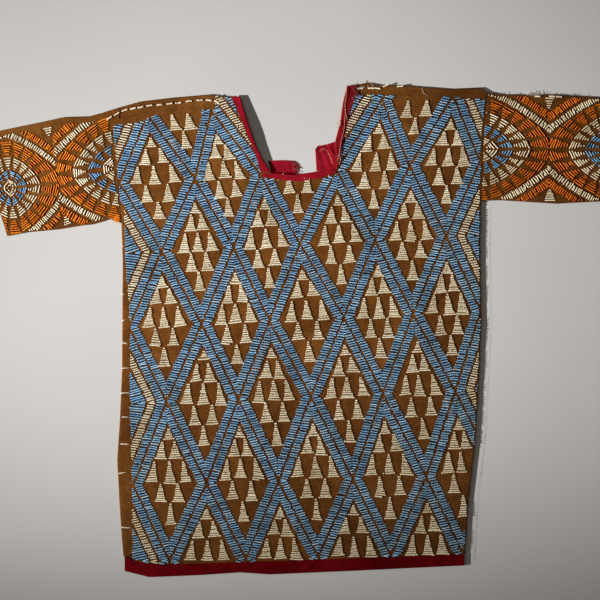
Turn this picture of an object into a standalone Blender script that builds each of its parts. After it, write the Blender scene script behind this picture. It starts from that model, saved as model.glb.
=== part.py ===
"""A short-sleeved, square-necked tunic of brown cotton, laid flat with its front up.

The front and the sleeves are covered with rows of small glass beads, which stand up from the cloth
as lanes, triangles and wedges. Dark red cotton binds the neck and the hem. Sizes are in millimetres
and become metres when a mesh is made. X runs from sleeve to sleeve, Y from hem to shoulder, Z up,
and the origin is on the surface under the middle of the garment.
"""

import math

import bmesh
import bpy
import numpy as np
from mathutils import Vector
from mathutils.geometry import delaunay_2d_cdt

MM = 0.001
WALL = 1.5
SEAM = 0.3
FRONT_REST = 2.0
BEAD_RISE = 1.4
BEAD_SLOPE = 0.7
LANE_GAP = 0.35
FOLD_RADIUS = (FRONT_REST - WALL) / 2
ROLL_RADIUS = 0.5
ROLL_DROP = 1.2
BINDING_WALL = 1.2
BINDING_REST = FRONT_REST + WALL + SEAM
LIP_RADIUS = 0.4
LIP_DROP = 1.6
NECK_TUCK = LIP_RADIUS + BINDING_WALL + SEAM
LEFT_ARMPIT = 154.0
RIGHT_ARMPIT = 186.0
PANEL_HEM = -325.0
EDGE_MARGIN = 2.0
BEND_STEPS = 4
OUTER_GRID = 34.0
INNER_GRID = 52.0
SLIT = 0.4
CURL = 2.2
CLIP_PASSES = 4
CLIP_TOLERANCE = 0.3

# The garment's edges. Each row is a place along the edge and where the edge lies there:
# down an edge that is keyed by y, (y, x), and along an edge that is keyed by x, (x, y).
LEFT_SIDE = (
    (-350, -256), (-304, -260), (-246, -264), (-188, -267), (-130, -263), (-58, -260), (99, -259), (154, -261),
)
LEFT_SEAM = ((-340, -245), (-218, -246), (-102, -249), (0, -249), (154, -252))
RIGHT_SIDE = ((-341, 236), (-246, 242), (-160, 252), (-72, 257), (14, 261), (116, 259), (186, 260))
LEFT_ARMHOLE = ((154, -261), (203, -265), (261, -266), (323, -263))
RIGHT_ARMHOLE = ((186, 260), (246, 262), (290, 263), (345, 269))
LEFT_SHOULDER = ((-263, 323), (-234, 331), (-191, 336), (-133, 341), (-102, 338), (-89, 338))
RIGHT_SHOULDER = ((66, 354), (80, 355), (92, 358), (111, 355), (150, 354), (215, 349), (259, 351), (269, 345))
LEFT_STRIP = ((-266, 306), (-220, 316), (-176, 320), (-125, 323))
RIGHT_STRIP = ((66, 341), (143, 341), (215, 338), (269, 334))
HEM_TOP = ((-256, -329), (-234, -336), (-205, -340), (-75, -336), (70, -331), (236, -325))
HEM_BOTTOM = ((-256, -349), (-220, -358), (-147, -355), (-89, -351), (-46, -354), (70, -349), (236, -341))
NECK_LEFT = ((228, -43), (244, -54), (268, -66), (297, -76), (338, -89))
NECK_RIGHT = ((232, 50), (274, 49), (300, 56), (329, 60), (354, 66))
NECK_FRONT = ((-57, 228), (-43, 228), (-8, 225), (24, 230), (50, 232))
BINDING_LEFT = ((225, -57), (246, -63), (276, -75), (307, -88), (338, -101))
BINDING_RIGHT = ((228, 51), (271, 60), (312, 69), (341, 78), (355, 79))
BINDING_FRONT = ((-57, 222), (-31, 218), (-5, 215), (27, 220), (51, 228))
SLEEVE_LEFT_TOP = (
    (-453, 284), (-437, 289), (-408, 295), (-379, 301), (-347, 308), (-310, 309), (-288, 315), (-263, 323),
)
SLEEVE_LEFT_BOTTOM = ((-426, 136), (-394, 142), (-350, 146), (-314, 152), (-278, 161), (-261, 154))
SLEEVE_LEFT_CUFF = ((136, -426), (149, -430), (171, -437), (203, -440), (284, -453))
SLEEVE_RIGHT_TOP = ((269, 345), (288, 341), (360, 341), (397, 339), (433, 337), (453, 336))
SLEEVE_RIGHT_BOTTOM = ((260, 186), (288, 188), (370, 183), (426, 186), (453, 187))
SLEEVE_RIGHT_CUFF = ((187, 453), (336, 453))
BACK_BINDING_TOP = ((-4, 238), (-11, 245), (-31, 246), (-49, 245))
NECK_FLAP_TOP = ((34, 268), (24, 267), (20, 262))

# The largest soft ridges in the front layer: middle x and y, half length, half width, the way its
# length runs in degrees, and height.
RIDGES = (
    (-82, 285, 62, 30, 113, 2.4),
    (72, 300, 48, 24, 78, 1.2),
    (-150, -215, 120, 34, 62, 1.1),
    (165, 20, 130, 36, 98, 1.0),
    (0, -110, 100, 30, 35, 0.9),
    (60, 150, 70, 26, 140, 0.8),
    (-315, 235, 45, 24, 100, 1.3),
    (-395, 222, 40, 22, 70, 0.9),
    (320, 262, 42, 24, 95, 1.2),
    (402, 258, 38, 22, 110, 0.9),
)

# The bead lattice, from above the shoulder to below the hem. Each row holds the height of a line of
# crossings at its left and right end, and the crossings' places along it. A row with five crossings
# lies between two rows with six.
LATTICE_ENDS = (-249, 259)
LATTICE = (
    (408, 436, (-263, -203, -65, 60, 179, 262)),
    (310, 342, (-223, -130, -5, 117, 220)),
    (214, 244, (-263, -154, -59, 51, 157, 259)),
    (112, 139, (-202, -98, -2, 107, 210)),
    (4, 28, (-249, -144, -46, 62, 162, 260)),
    (-106, -87, (-195, -91, 14, 118, 223)),
    (-225, -210, (-243, -137, -33, 75, 181, 285)),
    (-336, -323, (-191, -80, 25, 130, 234)),
    (-446, -436, (-246, -137, -30, 78, 186, 290)),
)

# Lanes inside a diamond's sides: distances in from the side to the lane's two edges. The chevrons of
# the half diamonds and beside the neck have three lanes, blue, cream and blue.
BLUE_LANE = (1.5, 12.0)
CHEVRON_LANES = ((1.5, 12.0), (14.8, 24.3), (26.8, 46.0))
# The two diamonds that the neck cuts, by row and place, and the side of each that has a chevron.
NECK_SIDES = {(1, 1): 0, (1, 2): 1}

# The nine triangles of a diamond: place of the point and of the base along the way from the
# diamond's top to its bottom, places of the point and of the base across it as shares of the
# diamond's width, and width of the base.
TRIANGLES = (
    (0.168, 0.240, 0.0, 0.0, 15.0),
    (0.248, 0.358, -0.080, -0.105, 17.2),
    (0.248, 0.358, 0.080, 0.105, 17.2),
    (0.372, 0.505, -0.195, -0.230, 17.2),
    (0.372, 0.505, 0.0, 0.0, 16.6),
    (0.372, 0.505, 0.195, 0.230, 17.2),
    (0.510, 0.635, -0.125, -0.128, 17.0),
    (0.510, 0.635, 0.125, 0.128, 17.0),
    (0.638, 0.772, 0.0, 0.0, 16.2),
)
TRIANGLE_TIP = 2.6
LEAST_SHARE = 0.6
LEAST_AREA = 12.0

# The sleeves' half medallions: middle x and y, the way the sleeve runs in degrees, and how far the
# medallion is drawn out along it.
LEFT_MEDALLIONS = ((-268, 234, 6.0, 0.89), (-430, 207, 6.0, 0.78))
RIGHT_MEDALLIONS = ((262, 262, 0.0, 1.0), (453, 261, 0.0, 1.0))
LEFT_MIDDLE = -354
RIGHT_MIDDLE = 360
# A medallion's curves are lower than they are long and come to a soft point at both ends. A curve
# of power 2 would be an ellipse.
WEDGE_HEIGHT = 0.77
WEDGE_POWER = 1.62
ARCH_HEIGHT = 0.62
ARCH_POWER = 1.6
# Rings of wedges: inner and outer half length and how many there are all round.
WEDGE_RINGS = ((8, 23, 7), (26.5, 45, 16), (47, 69.5, 22), (72, 93.5, 28))
WEDGE_POINT = 0.24
WEDGE_BASE = 0.80
# Lanes that run round a medallion: inner and outer half length.
ARCH_LANES = ((116.0, 128.5), (137.5, 150.0))
ARCH_STEPS = 48
# How far below the sleeve's top the beads start.
LEFT_TOP_MARGIN = 9.0
RIGHT_TOP_MARGIN = 4.0
# The small triangles between two medallions: middle of the base, point, and width of the base.
LEFT_SMALL_TRIANGLES = (((-368, 294), (-365, 281), 13.0), ((-338, 152), (-342, 165), 11.0))
RIGHT_SMALL_TRIANGLES = (((359, 337), (359, 320), 14.0), ((360, 186), (360, 205), 18.0))

# The cloths: colour and roughness.
CLOTHS = {
    "brown_cotton": ((0.150, 0.066, 0.018, 1.0), 0.85),
    "dark_red_cotton": ((0.300, 0.010, 0.020, 1.0), 0.80),
}


def read(table, at):
    """Where an edge lies at a place along it."""
    places, values = zip(*table)
    return np.interp(at, places, values)


def down(table, start, stop, shift=0.0):
    """Points of an edge that is keyed by y, from one height to another."""
    between = [y for y, _ in table if min(start, stop) < y < max(start, stop)]
    places = [start] + sorted(between, reverse=start > stop) + [stop]
    return [(float(read(table, y)) + shift, float(y)) for y in places]


def across(table, start, stop, shift=0.0):
    """Points of an edge that is keyed by x, from one place to another."""
    between = [x for x, _ in table if min(start, stop) < x < max(start, stop)]
    places = [start] + sorted(between, reverse=start > stop) + [stop]
    return [(float(x), float(read(table, x)) + shift) for x in places]


def knots(start, stop, *tables):
    """The places between two ends where any of some edges bends, with the ends, in order."""
    between = {place for table in tables for place, _ in table if min(start, stop) < place < max(start, stop)}
    return [start] + sorted(between, reverse=start > stop) + [stop]


def lift(x, y):
    """How far the front layer's soft ridges raise it at a place."""
    total = np.zeros(np.shape(x))
    for middle_x, middle_y, half_length, half_width, degrees, height in RIDGES:
        turn = math.radians(degrees)
        along = (x - middle_x) * math.cos(turn) + (y - middle_y) * math.sin(turn)
        aside = (y - middle_y) * math.cos(turn) - (x - middle_x) * math.sin(turn)
        falloff = np.clip(1 - (along / half_length) ** 2, 0, 1) * np.clip(1 - (aside / half_width) ** 2, 0, 1)
        total = total + height * falloff ** 2
    return total


def bent(past, radius, turn, height):
    """How far out and how high cloth lies that goes past a bend, for a point height above its inner side."""
    angle = np.clip(past / radius, 0, turn)
    beyond = past - angle * radius
    out = (radius + height) * np.sin(angle) + beyond * np.cos(angle)
    level = (radius + height) * np.cos(angle) - radius - beyond * np.sin(angle)
    return out, level


def area_of(polygon):
    """Area of a polygon, positive when it runs anticlockwise."""
    points = np.array(polygon)
    after = np.roll(points, -1, axis=0)
    return float(np.sum(points[:, 0] * after[:, 1] - after[:, 0] * points[:, 1]) / 2)


def kept_side(polygon, point, way):
    """The part of a convex polygon on the side of a line that the way points to."""
    kept = []
    count = len(polygon)
    for index in range(count):
        here, there = polygon[index], polygon[(index + 1) % count]
        near = (here[0] - point[0]) * way[0] + (here[1] - point[1]) * way[1]
        far = (there[0] - point[0]) * way[0] + (there[1] - point[1]) * way[1]
        if near >= 0:
            kept.append(here)
        if near * far < 0:
            share = near / (near - far)
            kept.append(tuple(a + share * (b - a) for a, b in zip(here, there)))
    return kept


def drawn_in(polygon, distance):
    """A convex polygon, anticlockwise, with every side moved in."""
    result = list(polygon)
    count = len(polygon)
    for index in range(count):
        here, there = polygon[index], polygon[(index + 1) % count]
        length = math.dist(here, there)
        if length < 0.01:
            continue
        way = ((here[1] - there[1]) / length, (there[0] - here[0]) / length)
        point = (here[0] + way[0] * distance, here[1] + way[1] * distance)
        result = kept_side(result, point, way)
        if len(result) < 3:
            return []
    return result


def line_at(table, keyed_by_y, side, margin, corner):
    """An edge's line beside a point, moved by a margin to the kept side: a point on it, and its kept side's way."""
    step = 8.0
    place = float(corner[1 if keyed_by_y else 0])
    value = float(read(table, place))
    slope = float(read(table, place + step) - read(table, place - step)) / (2 * step)
    length = math.hypot(1, slope)
    out, along = side / length, -side * slope / length
    way = (out, along) if keyed_by_y else (along, out)
    base = (value, place) if keyed_by_y else (place, value)
    return (base[0] + way[0] * margin, base[1] + way[1] * margin), way


def beyond_line(polygon, table, keyed_by_y, side, margin):
    """Cuts a convex polygon along an edge, first beside its middle and then wherever a corner still lies over."""
    polygon = kept_side(polygon, *line_at(table, keyed_by_y, side, margin, np.mean(polygon, axis=0)))
    for _ in range(CLIP_PASSES):
        over = []
        for corner in polygon:
            point, way = line_at(table, keyed_by_y, side, margin, corner)
            over.append((corner[0] - point[0]) * way[0] + (corner[1] - point[1]) * way[1])
        if len(polygon) < 3 or min(over) > -CLIP_TOLERANCE:
            break
        worst = polygon[over.index(min(over))]
        polygon = kept_side(polygon, *line_at(table, keyed_by_y, side, margin, worst))
    return polygon if len(polygon) > 2 else []


def crossing(row, index):
    """A crossing of the lattice."""
    left_height, right_height, places = LATTICE[row]
    share = (places[index] - LATTICE_ENDS[0]) / (LATTICE_ENDS[1] - LATTICE_ENDS[0])
    return np.array((places[index], left_height + share * (right_height - left_height)))


def diamonds():
    """The lattice's diamonds: row, place in it, corners (left, bottom, right, top), and whether only half shows."""
    found = []
    for row in range(1, len(LATTICE) - 1):
        short = len(LATTICE[row][2]) == 5
        for index in range(len(LATTICE[row][2]) - 1):
            other = index + 1 if short else index
            corners = (crossing(row, index), crossing(row + 1, other),
                       crossing(row, index + 1), crossing(row - 1, other))
            found.append((row, index, corners, False))
        if short:
            for end, other in ((0, 0), (4, 5)):
                near = crossing(row, end)
                low, high = crossing(row + 1, other), crossing(row - 1, other)
                far = low + high - near
                corners = (far, low, near, high) if end == 0 else (near, low, far, high)
                found.append((row, end, corners, True))
    return found


def moved_in(corners, distance):
    """A diamond's corners with every side moved in by a distance."""
    lines = []
    for index in range(4):
        here, there = corners[index], corners[(index + 1) % 4]
        along = (there - here) / np.linalg.norm(there - here)
        inward = np.array((-along[1], along[0]))
        lines.append((here + inward * distance, along))
    moved = []
    for index in range(4):
        (point, along), (other, way) = lines[index - 1], lines[index]
        share = np.linalg.solve(np.array((along, -way)).T, other - point)[0]
        moved.append(point + share * along)
    return moved


def lane(corners, lane_edges, side):
    """The lane inside one side of a diamond, mitred at its ends."""
    outer, inner = (moved_in(corners, distance) for distance in lane_edges)
    after = (side + 1) % 4
    return [tuple(point) for point in (outer[side], outer[after], inner[after], inner[side])]


def triangle(corners, point_place, base_place, point_aside, base_aside, width):
    """One bead triangle of a diamond, its point cut off by a single bead."""
    left, bottom, right, top = corners
    level = (right - left) / np.linalg.norm(right - left)
    tip = top + point_place * (bottom - top) + point_aside * (right - left)
    base = top + base_place * (bottom - top) + base_aside * (right - left)
    return [tuple(p) for p in (base - level * width / 2, base + level * width / 2,
                               tip + level * TRIANGLE_TIP / 2, tip - level * TRIANGLE_TIP / 2)]


def beside_neck(polygon):
    """What is left of a polygon outside the neck's bindings: the largest piece beside or below them."""
    choices = (
        beyond_line(polygon, BINDING_LEFT, True, -1, EDGE_MARGIN),
        beyond_line(polygon, BINDING_RIGHT, True, 1, EDGE_MARGIN),
        beyond_line(polygon, BINDING_FRONT, False, -1, EDGE_MARGIN),
    )
    whole = [choice for choice in choices if len(choice) > 2]
    return max(whole, key=area_of) if whole else []


def on_front(polygon):
    """What is left of a polygon inside the front panel's edges."""
    middle = np.mean(polygon, axis=0)
    left = LEFT_SEAM if middle[1] < LEFT_ARMPIT else LEFT_ARMHOLE
    right = RIGHT_SIDE if middle[1] < RIGHT_ARMPIT else RIGHT_ARMHOLE
    right_margin = EDGE_MARGIN + (ROLL_RADIUS + WALL if middle[1] < RIGHT_ARMPIT else 0)
    top = LEFT_STRIP if middle[0] < 0 else RIGHT_STRIP
    cuts = (
        (left, True, 1, EDGE_MARGIN),
        (right, True, -1, right_margin),
        (HEM_TOP, False, 1, EDGE_MARGIN),
        (top, False, -1, EDGE_MARGIN),
    )
    for table, keyed_by_y, side, margin in cuts:
        polygon = beyond_line(polygon, table, keyed_by_y, side, margin)
        if len(polygon) < 3:
            return []
    return beside_neck(polygon)


def front_beads():
    """The bead shapes of the front panel."""
    shapes = []
    for row, index, corners, is_half in diamonds():
        for side in range(4):
            chevron = is_half or NECK_SIDES.get((row, index)) == side
            for lane_edges in CHEVRON_LANES if chevron else (BLUE_LANE,):
                shapes.append((on_front(lane(corners, lane_edges, side)), 0.0))
        if not is_half and (row, index) not in NECK_SIDES:
            for triangle_row in TRIANGLES:
                whole = triangle(corners, *triangle_row)
                shapes.append((on_front(whole), LEAST_SHARE * area_of(whole)))
    return [shape for shape, least in shapes if len(shape) > 2 and area_of(shape) > max(least, LEAST_AREA)]


def on_sleeve(polygon, edges, top_margin, outward):
    """What is left of a polygon inside a sleeve's edges."""
    top, bottom, armhole, cuff = edges
    cuts = (
        (top, False, -1, top_margin),
        (bottom, False, 1, EDGE_MARGIN),
        (armhole, True, outward, EDGE_MARGIN),
        (cuff, True, -outward, EDGE_MARGIN),
    )
    for table, keyed_by_y, side, margin in cuts:
        polygon = beyond_line(polygon, table, keyed_by_y, side, margin)
        if len(polygon) < 3:
            return []
    return polygon


def round_medallion(medallion, curve, half_length, angle):
    """A point at an angle on one of the curves round a medallion."""
    x, y, degrees, drawn_out = medallion
    height, power = curve
    turn = math.radians(degrees)
    way_x, way_y = math.cos(angle), height * math.sin(angle)
    norm = (abs(way_x) ** power + abs(way_y / height) ** power) ** (1 / power)
    along = half_length * drawn_out * way_x / norm
    aside = half_length * way_y / norm
    return (x + along * math.cos(turn) - aside * math.sin(turn),
            y + along * math.sin(turn) + aside * math.cos(turn))


def ring_piece(medallion, curve, inner, outer, angle, inner_half, outer_half):
    """A four-cornered piece of a ring round a medallion."""
    return [
        round_medallion(medallion, curve, inner, angle - inner_half),
        round_medallion(medallion, curve, outer, angle - outer_half),
        round_medallion(medallion, curve, outer, angle + outer_half),
        round_medallion(medallion, curve, inner, angle + inner_half),
    ]


def medallion_pieces(medallion):
    """A whole medallion: rings of wedges with their points inward, and the lanes round them."""
    pieces = []
    for inner, outer, count in WEDGE_RINGS:
        reach = math.pi / count
        for step in range(count):
            angle = reach * (2 * step + 1)
            pieces.append(ring_piece(medallion, (WEDGE_HEIGHT, WEDGE_POWER), inner, outer, angle,
                                     reach * WEDGE_POINT, reach * WEDGE_BASE))
    reach = math.pi / ARCH_STEPS
    for inner, outer in ARCH_LANES:
        for step in range(ARCH_STEPS):
            pieces.append(ring_piece(medallion, (ARCH_HEIGHT, ARCH_POWER), inner, outer,
                                     reach * (2 * step + 1), reach, reach))
    return pieces


def small_triangle(base, point, width):
    """A small triangle between two medallions, anticlockwise."""
    way = np.array(point) - np.array(base)
    level = np.array((way[1], -way[0])) / np.linalg.norm(way)
    corners = (base + level * width / 2, point + level * TRIANGLE_TIP / 2,
               point - level * TRIANGLE_TIP / 2, base - level * width / 2)
    return [tuple(corner) for corner in corners]


def sleeve_beads(medallions, triangles, middle, edges, top_margin, outward):
    """The bead shapes of a sleeve. Each medallion stays on its own side of the sleeve's middle."""
    shapes = [small_triangle(*row) for row in triangles]
    for medallion, away in zip(medallions, (-outward, outward)):
        for piece in medallion_pieces(medallion):
            half = kept_side(piece, (middle + away * LANE_GAP, 0.0), (away, 0.0))
            if len(half) > 2:
                shapes.append(half)
    shapes = [on_sleeve(shape, edges, top_margin, outward) for shape in shapes]
    return [shape for shape in shapes if len(shape) > 2 and area_of(shape) > LEAST_AREA]


def inside_any(points, polygons):
    """Which points lie in one of some convex polygons, that run anticlockwise."""
    found = np.zeros(len(points), bool)
    for polygon in polygons:
        corners = np.array(polygon)
        sides = np.roll(corners, -1, axis=0) - corners
        offsets = points[:, None, :] - corners[None, :, :]
        turns = sides[None, :, 0] * offsets[:, :, 1] - sides[None, :, 1] * offsets[:, :, 0]
        found |= (turns >= 0).all(axis=1)
    return found


def inside_outline(points, outline):
    """Which points lie in an outline of any shape."""
    found = np.zeros(len(points), bool)
    for here, there in zip(outline, outline[1:] + outline[:1]):
        spans = (here[1] > points[:, 1]) != (there[1] > points[:, 1])
        if here[1] == there[1]:
            continue
        meets = here[0] + (points[:, 1] - here[1]) * (there[0] - here[0]) / (there[1] - here[1])
        found ^= spans & (points[:, 0] < meets)
    return found


def clear_of_edge(points, outline, least):
    """Which points lie at least a distance from every side of an outline."""
    clear = np.ones(len(points), bool)
    for here, there in zip(outline, outline[1:] + outline[:1]):
        start, way = np.array(here), np.array(there) - np.array(here)
        share = np.clip((points - start) @ way / max(way @ way, 1e-9), 0, 1)
        clear &= np.linalg.norm(points - start - share[:, None] * way, axis=1) > least
    return clear


def spread_points(outline, spacing, feet):
    """Points spread evenly over an outline, clear of its edge and of the bead shapes."""
    low, high = np.min(outline, axis=0), np.max(outline, axis=0)
    across_places = np.arange(low[0] + spacing / 2, high[0], spacing)
    up_places = np.arange(low[1] + spacing / 2, high[1], spacing)
    points = np.array([(x, y) for x in across_places for y in up_places]).reshape(-1, 2)
    points = points[inside_outline(points, outline) & clear_of_edge(points, outline, spacing / 6)]
    return points[~inside_any(points, feet)]


def surface(outline, creases, feet, spacing):
    """A flat triangulated sheet: its points, triangles, which points are raised, and its edge's sides."""
    points, loops, raised = [], [], []

    def add_line(line, closed, high):
        first = len(points)
        points.extend(line)
        raised.extend([high] * len(line))
        last = len(line) if closed else len(line) - 1
        loops.extend((first + index, first + (index + 1) % len(line)) for index in range(last))

    add_line(outline, True, False)
    for crease in creases:
        add_line(crease, False, False)
    for foot in feet:
        crest = drawn_in(foot, BEAD_SLOPE)
        if len(crest) > 2 and area_of(crest) > 1.0:
            add_line(foot, True, False)
            add_line(crest, True, True)
    for point in spread_points(outline, spacing, feet):
        points.append(tuple(point))
        raised.append(False)
    result = delaunay_2d_cdt([Vector(point) for point in points], loops, [], 1, 1e-5)
    flat, triangles, sources = np.array(result[0]), np.array(result[2]), result[3]
    high = np.array([any(raised[source] for source in found) for found in sources])
    sides = np.concatenate([triangles[:, [0, 1]], triangles[:, [1, 2]], triangles[:, [2, 0]]])
    _, first, count = np.unique(np.sort(sides, axis=1), axis=0, return_index=True, return_counts=True)
    return flat, triangles, high, sides[first[count == 1]]


def cloth_body(name, outline, lay, wall, cloth, creases=(), feet=(), spacing=INNER_GRID):
    """Makes one piece of cloth as a closed body.

    Its inner side is plain and its outer side is raised where beads lie on it, which Solidify
    can't do, so both sides are triangulated here and joined round the edge.
    """
    flat, triangles, high, edge = surface(outline, creases, feet, spacing if not feet else OUTER_GRID)
    under, under_triangles, _, under_edge = surface(outline, creases, (), INNER_GRID)
    outer = lay(flat[:, 0], flat[:, 1], wall + BEAD_RISE * high)
    inner = lay(under[:, 0], under[:, 1], np.zeros(len(under)))
    rim = np.unique(under_edge)
    body = bmesh.new()
    outer_verts = [body.verts.new(point * MM) for point in outer]
    inner_verts = [body.verts.new(point * MM) for point in inner]
    for corners in triangles:
        body.faces.new([outer_verts[index] for index in corners])
    for corners in under_triangles:
        body.faces.new([inner_verts[index] for index in reversed(corners)])
    below = {}
    for index in np.unique(edge):
        distances = np.linalg.norm(under[rim] - flat[index], axis=1)
        below[index] = inner_verts[rim[int(np.argmin(distances))]]
    for start, stop in edge:
        body.faces.new((outer_verts[stop], outer_verts[start], below[start], below[stop]))
    bmesh.ops.recalc_face_normals(body, faces=body.faces)
    mesh = bpy.data.meshes.new(name)
    body.to_mesh(mesh)
    body.free()
    mesh.shade_smooth()
    mesh.set_sharp_from_angle(angle=math.radians(25))
    mesh.materials.append(cloth)
    piece = bpy.data.objects.new(name, mesh)
    return piece


def bend_lines(edge_points, radius, turn, way):
    """The creases of a bend: the line where it starts and those that follow it round."""
    lines = []
    for step in range(BEND_STEPS + 1):
        past = radius * turn * step / BEND_STEPS
        lines.append([(x + way[0] * past, y + way[1] * past) for x, y in edge_points])
    return lines


def as_points(x, y, z):
    """Places with three coordinates."""
    return np.stack([x, y, np.broadcast_to(z, np.shape(x))], axis=1)


def front_panel(cloth):
    """The beaded front. Its right edge turns down over the garment's side."""
    start = ROLL_RADIUS + WALL
    roll = ROLL_RADIUS * math.pi / 2 + ROLL_DROP
    armpit = RIGHT_ARMPIT - SLIT
    left_hem = float(read(LEFT_SEAM, PANEL_HEM)) + SEAM
    outline = across(HEM_TOP, left_hem, 236 - start, SEAM)
    outline += down(RIGHT_SIDE, PANEL_HEM + SEAM, armpit, roll - start)
    outline += [(float(read(RIGHT_SIDE, armpit)) - start, armpit)]
    outline += down(RIGHT_ARMHOLE, RIGHT_ARMPIT, 334 - SEAM, -SEAM)
    outline += across(RIGHT_STRIP, 268, 66 + NECK_TUCK, -SEAM)
    outline += down(NECK_RIGHT, 338, 233, NECK_TUCK)
    outline += across(NECK_FRONT, 50, -43, -NECK_TUCK)
    outline += down(NECK_LEFT, 230, 336, -NECK_TUCK)
    outline += [(-125 + SEAM, 339 - SEAM)]
    outline += across(LEFT_STRIP, -125 + SEAM, -264, -SEAM)
    outline += down(LEFT_ARMHOLE, 300, LEFT_ARMPIT + SEAM, SEAM)
    outline += down(LEFT_SEAM, LEFT_ARMPIT + SEAM, PANEL_HEM, SEAM)
    edge = down(RIGHT_SIDE, PANEL_HEM + SEAM, armpit, -start)
    creases = bend_lines(edge, ROLL_RADIUS, math.pi / 2, (1, 0))

    def lay(x, y, height):
        side = read(RIGHT_SIDE, y) - start
        past = np.where(y < armpit + SLIT / 2, x - side, -1.0)
        out, level = bent(past, ROLL_RADIUS, math.pi / 2, height)
        along = np.where(past > 0, side + out, x)
        return as_points(along, y, FRONT_REST + lift(along, y) + level)

    return cloth_body("front_panel", outline, lay, WALL, cloth, creases, front_beads())


def back_panel(cloth):
    """The plain back. It wraps round the left side and over both shoulders as narrow strips."""
    start = FOLD_RADIUS + WALL
    fold = FOLD_RADIUS * math.pi
    armpit = LEFT_ARMPIT - SLIT

    def side_flap(y):
        return (float(read(LEFT_SIDE, y)) * 2 + 2 * start - fold - float(read(LEFT_SEAM, y)), float(y))

    def shoulder_flap(shoulder, strip, x):
        return (float(x), float(read(shoulder, x)) * 2 - 2 * start + fold - float(read(strip, x)))

    outline = across(HEM_TOP, -256 + start, 236 - start - SEAM, SEAM)
    outline += down(RIGHT_SIDE, PANEL_HEM + SEAM, RIGHT_ARMPIT - SLIT, -start - SEAM)
    outline += down(RIGHT_ARMHOLE, RIGHT_ARMPIT, 343, -SEAM)
    outline += [(267.0, float(read(RIGHT_SHOULDER, 267)) - start)]
    outline += [shoulder_flap(RIGHT_SHOULDER, RIGHT_STRIP, x) for x in knots(267, 81, RIGHT_SHOULDER, RIGHT_STRIP)]
    outline += [(81.0, float(read(RIGHT_SHOULDER, 81)) - start), (80.0, 353.0)]
    outline += down(NECK_RIGHT, 352, 233, NECK_TUCK)
    outline += across(NECK_FRONT, 50, -43, -NECK_TUCK)
    outline += down(NECK_LEFT, 230, 336, -NECK_TUCK)
    outline += [(-124.5, 337.0), (-125.0, float(read(LEFT_SHOULDER, -125)) - start)]
    outline += [shoulder_flap(LEFT_SHOULDER, LEFT_STRIP, x) for x in knots(-125, -262, LEFT_SHOULDER, LEFT_STRIP)]
    outline += [(-262.0, float(read(LEFT_SHOULDER, -262)) - start)]
    outline += down(LEFT_ARMHOLE, 321, LEFT_ARMPIT, SEAM)
    outline += [(float(read(LEFT_SIDE, armpit)) + start, armpit)]
    outline += [side_flap(y) for y in knots(armpit, PANEL_HEM, LEFT_SIDE, LEFT_SEAM)]
    side_edge = down(LEFT_SIDE, -329 + SEAM, armpit, start)
    creases = bend_lines(side_edge, FOLD_RADIUS, math.pi, (-1, 0))
    creases += bend_lines(across(LEFT_SHOULDER, -262, -125, -start), FOLD_RADIUS, math.pi, (0, 1))
    creases += bend_lines(across(RIGHT_SHOULDER, 81, 267, -start), FOLD_RADIUS, math.pi, (0, 1))

    def lay(x, y, height):
        side = read(LEFT_SIDE, y) + start
        past_side = np.where(y < armpit + SLIT / 2, side - x, -1.0)
        out, level = bent(past_side, FOLD_RADIUS, math.pi, height)
        along = np.where(past_side > 0, side - out, x)
        top = np.where(x < 0, read(LEFT_SHOULDER, x), read(RIGHT_SHOULDER, x)) - start
        in_strip = ((x > -262.5) & (x < -124.9)) | ((x > 80.9) & (x < 267.5))
        past_top = np.where(in_strip, y - top, -1.0)
        up, top_level = bent(past_top, FOLD_RADIUS, math.pi, height)
        upward = np.where(past_top > 0, top + up, y)
        return as_points(along, upward, WALL - np.where(past_top > 0, top_level, level))

    return cloth_body("back_panel", outline, lay, WALL, cloth, creases)


def sleeve(name, cloth, edges, beads, outward):
    """A sleeve folded along its top, with the bead medallions on its front layer."""
    top, bottom, armhole, cuff = edges
    start = FOLD_RADIUS + WALL
    fold = FOLD_RADIUS * math.pi

    def under(point):
        x, y = point
        return (x, 2 * (float(read(top, x)) - start) + fold - y)

    seam_x = outward * SEAM
    low_arm, high_arm = armhole[0][0], armhole[-1][0] - start - 1
    arm = down(armhole, low_arm + 1, high_arm, seam_x)
    end = down(cuff, cuff[0][0], cuff[-1][0] - start)
    hem = across(bottom, bottom[0][0], bottom[-1][0])[1:-1]
    half = arm[::-1] + hem[::outward] + end
    outline = half + [under(point) for point in reversed(half)]
    if area_of(outline) < 0:
        outline = outline[::-1]
    ends = sorted((arm[-1][0], end[-1][0]))
    creases = bend_lines(across(top, ends[0], ends[1], -start), FOLD_RADIUS, math.pi, (0, 1))

    def lay(x, y, height):
        edge = read(top, x) - start
        past = y - edge
        out, level = bent(past, FOLD_RADIUS, math.pi, height)
        upward = np.where(past > 0, edge + out, y)
        raise_by = np.where(past > 0, 0.0, lift(x, upward))
        return as_points(x, upward, FRONT_REST + raise_by + level)

    return cloth_body(name, outline, lay, WALL, cloth, creases, beads)


def side_binding(name, cloth, neck, outer, span, way):
    """A binding on a side of the neck, which turns down over the cloth's cut edge."""
    start = LIP_RADIUS + BINDING_WALL
    reach = LIP_RADIUS * math.pi / 2 + LIP_DROP
    low, high = span
    outline = down(outer, low, high)
    outline += down(neck, high, low, way * (reach - start))
    if area_of(outline) < 0:
        outline = outline[::-1]
    creases = bend_lines(down(neck, low, high, -way * start), LIP_RADIUS, math.pi / 2, (way, 0))

    def lay(x, y, height):
        edge = read(neck, y) - way * start
        past = way * (x - edge)
        out, level = bent(past, LIP_RADIUS, math.pi / 2, height)
        along = np.where(past > 0, edge + way * out, x)
        return as_points(along, y, BINDING_REST + lift(along, y) + level)

    return cloth_body(name, outline, lay, BINDING_WALL, cloth, creases)


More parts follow.
